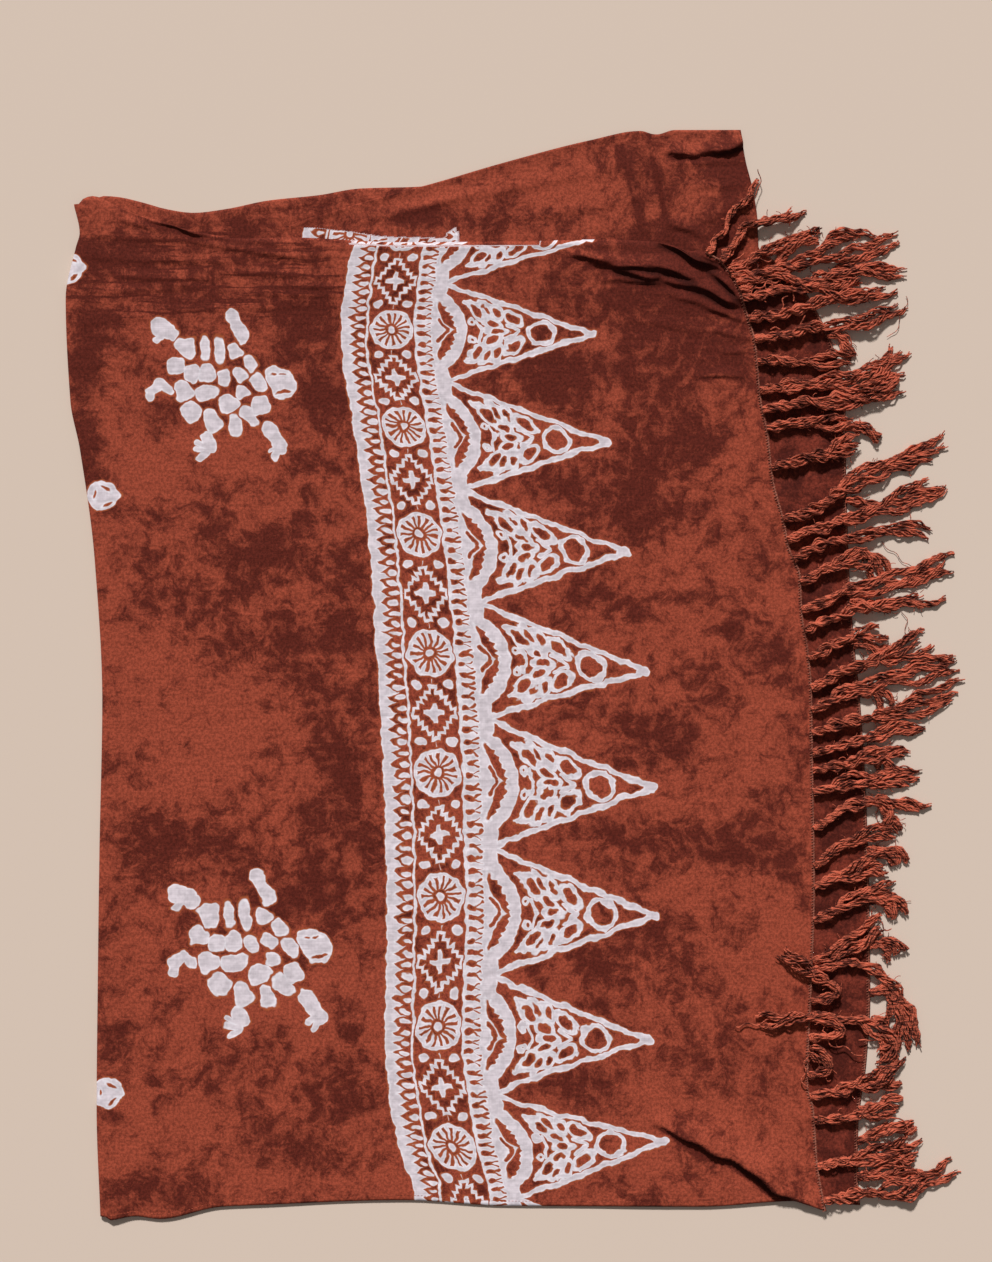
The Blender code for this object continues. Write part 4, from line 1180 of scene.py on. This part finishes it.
def add_rope(curve, line, aside, up, height, low, length, rng):
    """One loosely twisted rope of crimped yarns, with a blunt, slightly opened end."""
    u, v, ahead, run = line
    turning = 1.0 if rng.uniform() < 0.5 else -1.0
    pitch = ROPE_PITCH * rng.uniform(0.8, 1.3)
    opened = 1.0 + 0.5 * eased((run - 0.3 * length) / (0.5 * length))
    opened -= 0.6 * eased((run - 0.93 * length + 6.0) / 8.0)
    for k in range(YARNS_PER_ROPE):
        turn = turning * math.tau * run / pitch + math.tau * k / YARNS_PER_ROPE
        wave = rng.uniform(10.0, 18.0)
        phase = rng.uniform(0.0, math.tau)
        slow = rng.uniform(0.0, math.tau)
        crimp = math.tau * run / wave + phase
        radius = ROPE_RADIUS * opened * (0.95 + 0.35 * np.sin(run / rng.uniform(6.0, 11.0) + slow))
        side = aside + radius * np.cos(turn) + 0.8 * np.sin(crimp)
        rise = up + radius * (1.0 + 0.8 * np.sin(turn)) + 0.3 * np.cos(crimp)
        keep = run < length * rng.uniform(0.94, 1.01)
        points = np.stack((u - ahead[1] * side, v + ahead[0] * side, height + YARN + rise * low))
        add_yarn(curve, points[:, keep].T, YARN * rng.uniform(0.7, 1.1), taper=YARN_TAPER)


def add_thread(curve, start, height, way, length, bend, radius, rng):
    """A loose thread that wanders and curls as it goes."""
    steps = np.arange(max(int(length / THREAD_STEP), 3))
    turns = np.cumsum(rng.normal(0.0, 0.11, len(steps)) * bend)
    curl = np.sin(steps * rng.uniform(0.25, 0.5) + rng.uniform(0.0, math.tau))
    heading = way + turns + 0.5 * bend * curl
    u = start[0] + THREAD_STEP * np.cumsum(np.cos(heading))
    v = start[1] + THREAD_STEP * np.cumsum(np.sin(heading))
    z = height + radius + 0.6 * np.sin(steps / 3.0) ** 2
    add_yarn(curve, np.stack((u, v, z)).T, radius, taper=YARN_TAPER)


def add_knot(curve, line, height):
    """Turns of yarn wound about a tassel's root."""
    u, v, ahead, run = line
    around = np.linspace(0.0, KNOT_TURNS * math.tau, KNOT_POINTS)
    at = np.linspace(*KNOT_SPAN, KNOT_POINTS)
    u, v, height = (np.interp(at, run, values) for values in (u, v, height))
    side = KNOT * np.cos(around)
    z = height + YARN + 0.9 * KNOT * (1.0 + np.sin(around))
    add_yarn(curve, np.stack((u - ahead[1][2] * side, v + ahead[0][2] * side, z)).T, KNOT_YARN)


def add_tassel(curve, tassel, start, root_height, level, rng):
    """A tassel from its root's height to the level that it lies at, or down past the back layer."""
    u, v, ahead, run, length = tassel_line(tassel, start)
    line = (u, v, ahead, run)
    rest = np.zeros_like(u)
    if level > ON_FLOOR:
        rest = eased((u - smooth(BACK_REACH, v) + DROP_EARLY) / DROP_LENGTH)
    height = root_height + (level - root_height) * eased(run / RISE_LENGTH)
    height += (DROPPED_TO - height) * rest
    low = 1.0 - FLATTENED * rest
    twined = 1.0 - eased((run - TWINE_SHARE * length * rng.uniform(0.1, 1.3)) / TWINE_UNDONE)
    sway = rng.uniform(0.0, math.tau)
    knot = 1.0 - 0.75 * np.exp(-((run / 4.0) ** 2))
    add_knot(curve, line, height)
    grown = eased(run / 30.0)
    for k in range(tassel.locks):
        lane = k - (tassel.locks - 1) / 2.0
        turn = math.tau * (run / TWINE_PITCH + k / tassel.locks) + sway
        open_width = LOCK_GAP + LOCKS_OPEN * (run / length) ** 2
        bend = 0.0
        for size, every in ROPE_BENDS:
            wave = rng.uniform(*size) * np.sin(run / rng.uniform(*every) + rng.uniform(0.0, math.tau))
            bend = bend + wave * grown
        aside = (TWINE_OFF * np.cos(turn) * twined + (lane * open_width) * (1.0 - twined)) * knot + bend
        up = (1.3 + 1.3 * np.sin(turn)) * twined * knot
        add_rope(curve, line, aside, up, height, low, length * rng.uniform(0.84, 1.02), rng)
        for _ in range(LOOSE_PER_LOCK):
            at = rng.integers(int(0.15 * len(run)), int(0.74 * len(run)))
            away = aside[at] + rng.choice((-1.0, 1.0)) * 2.8
            place = (u[at] - ahead[1][at] * away, v[at] + ahead[0][at] * away)
            way = math.atan2(ahead[1][at], ahead[0][at]) + rng.uniform(-1.3, 1.3)
            over = height[at] + rng.uniform(0.5, 4.0)
            add_thread(curve, place, over, way, rng.uniform(4.0, 11.0), 2.4, LOOSE_YARN, rng)


def yarn_curve(name):
    curve = bpy.data.curves.new(name, "CURVE")
    curve.dimensions = "3D"
    curve.bevel_depth = MM
    curve.bevel_resolution = 0
    curve.use_fill_caps = True
    return curve


def yarn_object(name, curve, material):
    """Makes a curve's yarns a mesh of thin tubes."""
    holder = add_object(name + "_line", curve)
    mesh = bpy.data.meshes.new_from_object(holder.evaluated_get(bpy.context.evaluated_depsgraph_get()))
    bpy.data.objects.remove(holder)
    mesh.name = name
    mesh.materials.clear()
    mesh.materials.append(material)
    for layer in list(mesh.uv_layers):
        mesh.uv_layers.remove(layer)
    mesh.shade_smooth()
    return add_object(name, mesh)


STRETCHES = table(
    "name node low high",
    ("front_tassels_bottom", "front_fringe_bottom", 0, 335),
    ("front_tassels_middle", "front_fringe_middle", 335, 690),
    ("front_tassels_top", "front_fringe_top", 690, 1040),
    ("back_tassels_bottom", "back_fringe_bottom", 0, 315),
    ("back_tassels_middle", "back_fringe_middle", 315, 685),
    ("back_tassels_top", "back_fringe_top", 685, 1040),
)
rng = np.random.default_rng(7)
tassel_pieces = {"front": [], "back": []}
for stretch in STRETCHES:
    side = stretch.name.split("_")[0]
    rows, end = (FRONT_TASSELS, FRONT_END) if side == "front" else (BACK_TASSELS, BACK_END)
    curve = yarn_curve(stretch.name)
    for tassel in rows:
        if stretch.low <= tassel.root < stretch.high:
            start = (float(smooth(end, tassel.root)) - ROOT_INSET, float(tassel.root))
            root_height = level = ON_FLOOR
            if side == "front":
                on_cloth = front_height(np.array(start[0] - ROOT_SEEN_FROM), np.array(start[1]))
                root_height = max(float(on_cloth) - ROOT_SUNK, ON_FLOOR)
                level = OVER_FRONT if tassel.root in ON_FRONT else OVER_BACK
            add_tassel(curve, tassel, start, root_height, level, rng)
    for stray in STRAYS:
        if side == "front" and stretch.low <= min(stray.v, 1030) < stretch.high:
            over_back = stray.u < smooth(BACK_REACH, stray.v) - STRAY_CLEAR
            height = STRAY_OVER_BACK if over_back else STRAY_ON_FLOOR
            way = math.radians(stray.way)
            add_thread(curve, (stray.u, stray.v), height, way, stray.long, stray.bend, stray.radius, rng)
    piece = yarn_object(stretch.name, curve, YARN_MATERIAL)
    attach(piece, "root")
    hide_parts(stretch.node)
    tassel_pieces[side].append(piece)

# Overcast edges: along each fringed end the cloth is rolled over a cord and whipped with
# small slanting stitches in paler yarn.
EDGE_STEP = 3.0
EDGE_CORD = 0.95
EDGE_STITCH = 0.42
BACK_EDGE_ENDS = 1030.0
for side, end in (("front", FRONT_END), ("back", BACK_END)):
    curve = yarn_curve(side + "_overcast")
    last = end[-1].v if side == "front" else BACK_EDGE_ENDS
    v = np.arange(end[0].v + 1.0, last - 1.0, EDGE_STEP)
    u = smooth(end, v) - 1.6
    z = (front_height(u - 1.0, v) if side == "front" else np.full_like(v, CLOTH)) + 0.35
    add_yarn(curve, np.stack((u, v, z)).T, EDGE_CORD)
    for k in range(len(v) - 1):
        lean = 1.1 if k % 3 else 0.5
        under = (u[k] - 2.6, v[k] - lean, z[k] - 0.2)
        over = (u[k] - 0.7, v[k], z[k] + 0.95)
        add_yarn(curve, [under, over, (u[k] + 0.9, v[k] + lean, z[k] + 0.35)], EDGE_STITCH)
    piece = yarn_object(side + "_overcast", curve, EDGE_MATERIAL)
    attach(piece, "root")
    tassel_pieces[side].append(piece)

# Selvage hem: the long side at the photo's bottom is turned in once and run with small
# stitches of rust thread.
HEM_SPAN = (12.0, 762.0)
HEM_WIDTH = 5.0
STITCH_STEP = 3.6
STITCH_YARN = 0.2
curve = yarn_curve("hem_stitches")
u = np.arange(*HEM_SPAN, STITCH_STEP)
v = smooth(FRONT_BOTTOM, u) + HEM_WIDTH
z = front_height(u, v)
for k in range(len(u) - 1):
    line = [(u[k], v[k], z[k] - 0.05), (u[k] + 1.1, v[k] + 0.1, z[k] + 0.16), (u[k] + 2.2, v[k], z[k] - 0.05)]
    add_yarn(curve, line, STITCH_YARN)
stitches = yarn_object("hem_stitches", curve, YARN_MATERIAL)
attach(stitches, "root")

# Floor, soft studio light and the camera, straight above as in the photo.
FLOOR_HALF = 20.0
FLOOR_COLOR = (0.73, 0.59, 0.49, 1.0)
SUN_FROM = (0.16, -0.82, -0.68)
SUN_POWER = 3.62
SUN_WIDTH = 6.0
ROOM_COLOR = (1.0, 0.97, 0.95, 1.0)
ROOM_POWER = 0.17
VIEW_MIDDLE = (-0.0272, 0.0463)
VIEW_HEIGHT = 1.350
CAMERA_UP = 2.2
floor_mesh = bpy.data.meshes.new("floor")
bm = bmesh.new()
bmesh.ops.create_grid(bm, x_segments=1, y_segments=1, size=FLOOR_HALF)
bm.to_mesh(floor_mesh)
bm.free()
floor = add_object("floor", floor_mesh)
paper = bpy.data.materials.new("pale floor")
paper.use_nodes = True
paper_surface = paper.node_tree.nodes["Principled BSDF"].inputs
paper_surface["Base Color"].default_value = FLOOR_COLOR
paper_surface["Roughness"].default_value = 0.9
floor_mesh.materials.append(paper)

sun = bpy.data.lights.new("high window", "SUN")
sun.energy = SUN_POWER
sun.angle = math.radians(SUN_WIDTH)
lamp = add_object("high window", sun)
lamp.rotation_euler = Vector(SUN_FROM).to_track_quat("-Z", "Y").to_euler()
world = bpy.data.worlds.new("room")
world.use_nodes = True
world.node_tree.nodes["Background"].inputs["Color"].default_value = ROOM_COLOR
world.node_tree.nodes["Background"].inputs["Strength"].default_value = ROOM_POWER
bpy.context.scene.world = world

camera = bpy.data.cameras.new("camera")
camera.sensor_width = 36.0
camera.lens = camera.sensor_width * CAMERA_UP / VIEW_HEIGHT
view = add_object("camera", camera)
view.location = (*VIEW_MIDDLE, CAMERA_UP)
bpy.context.scene.camera = view
bpy.context.scene.view_settings.view_transform = "Standard"
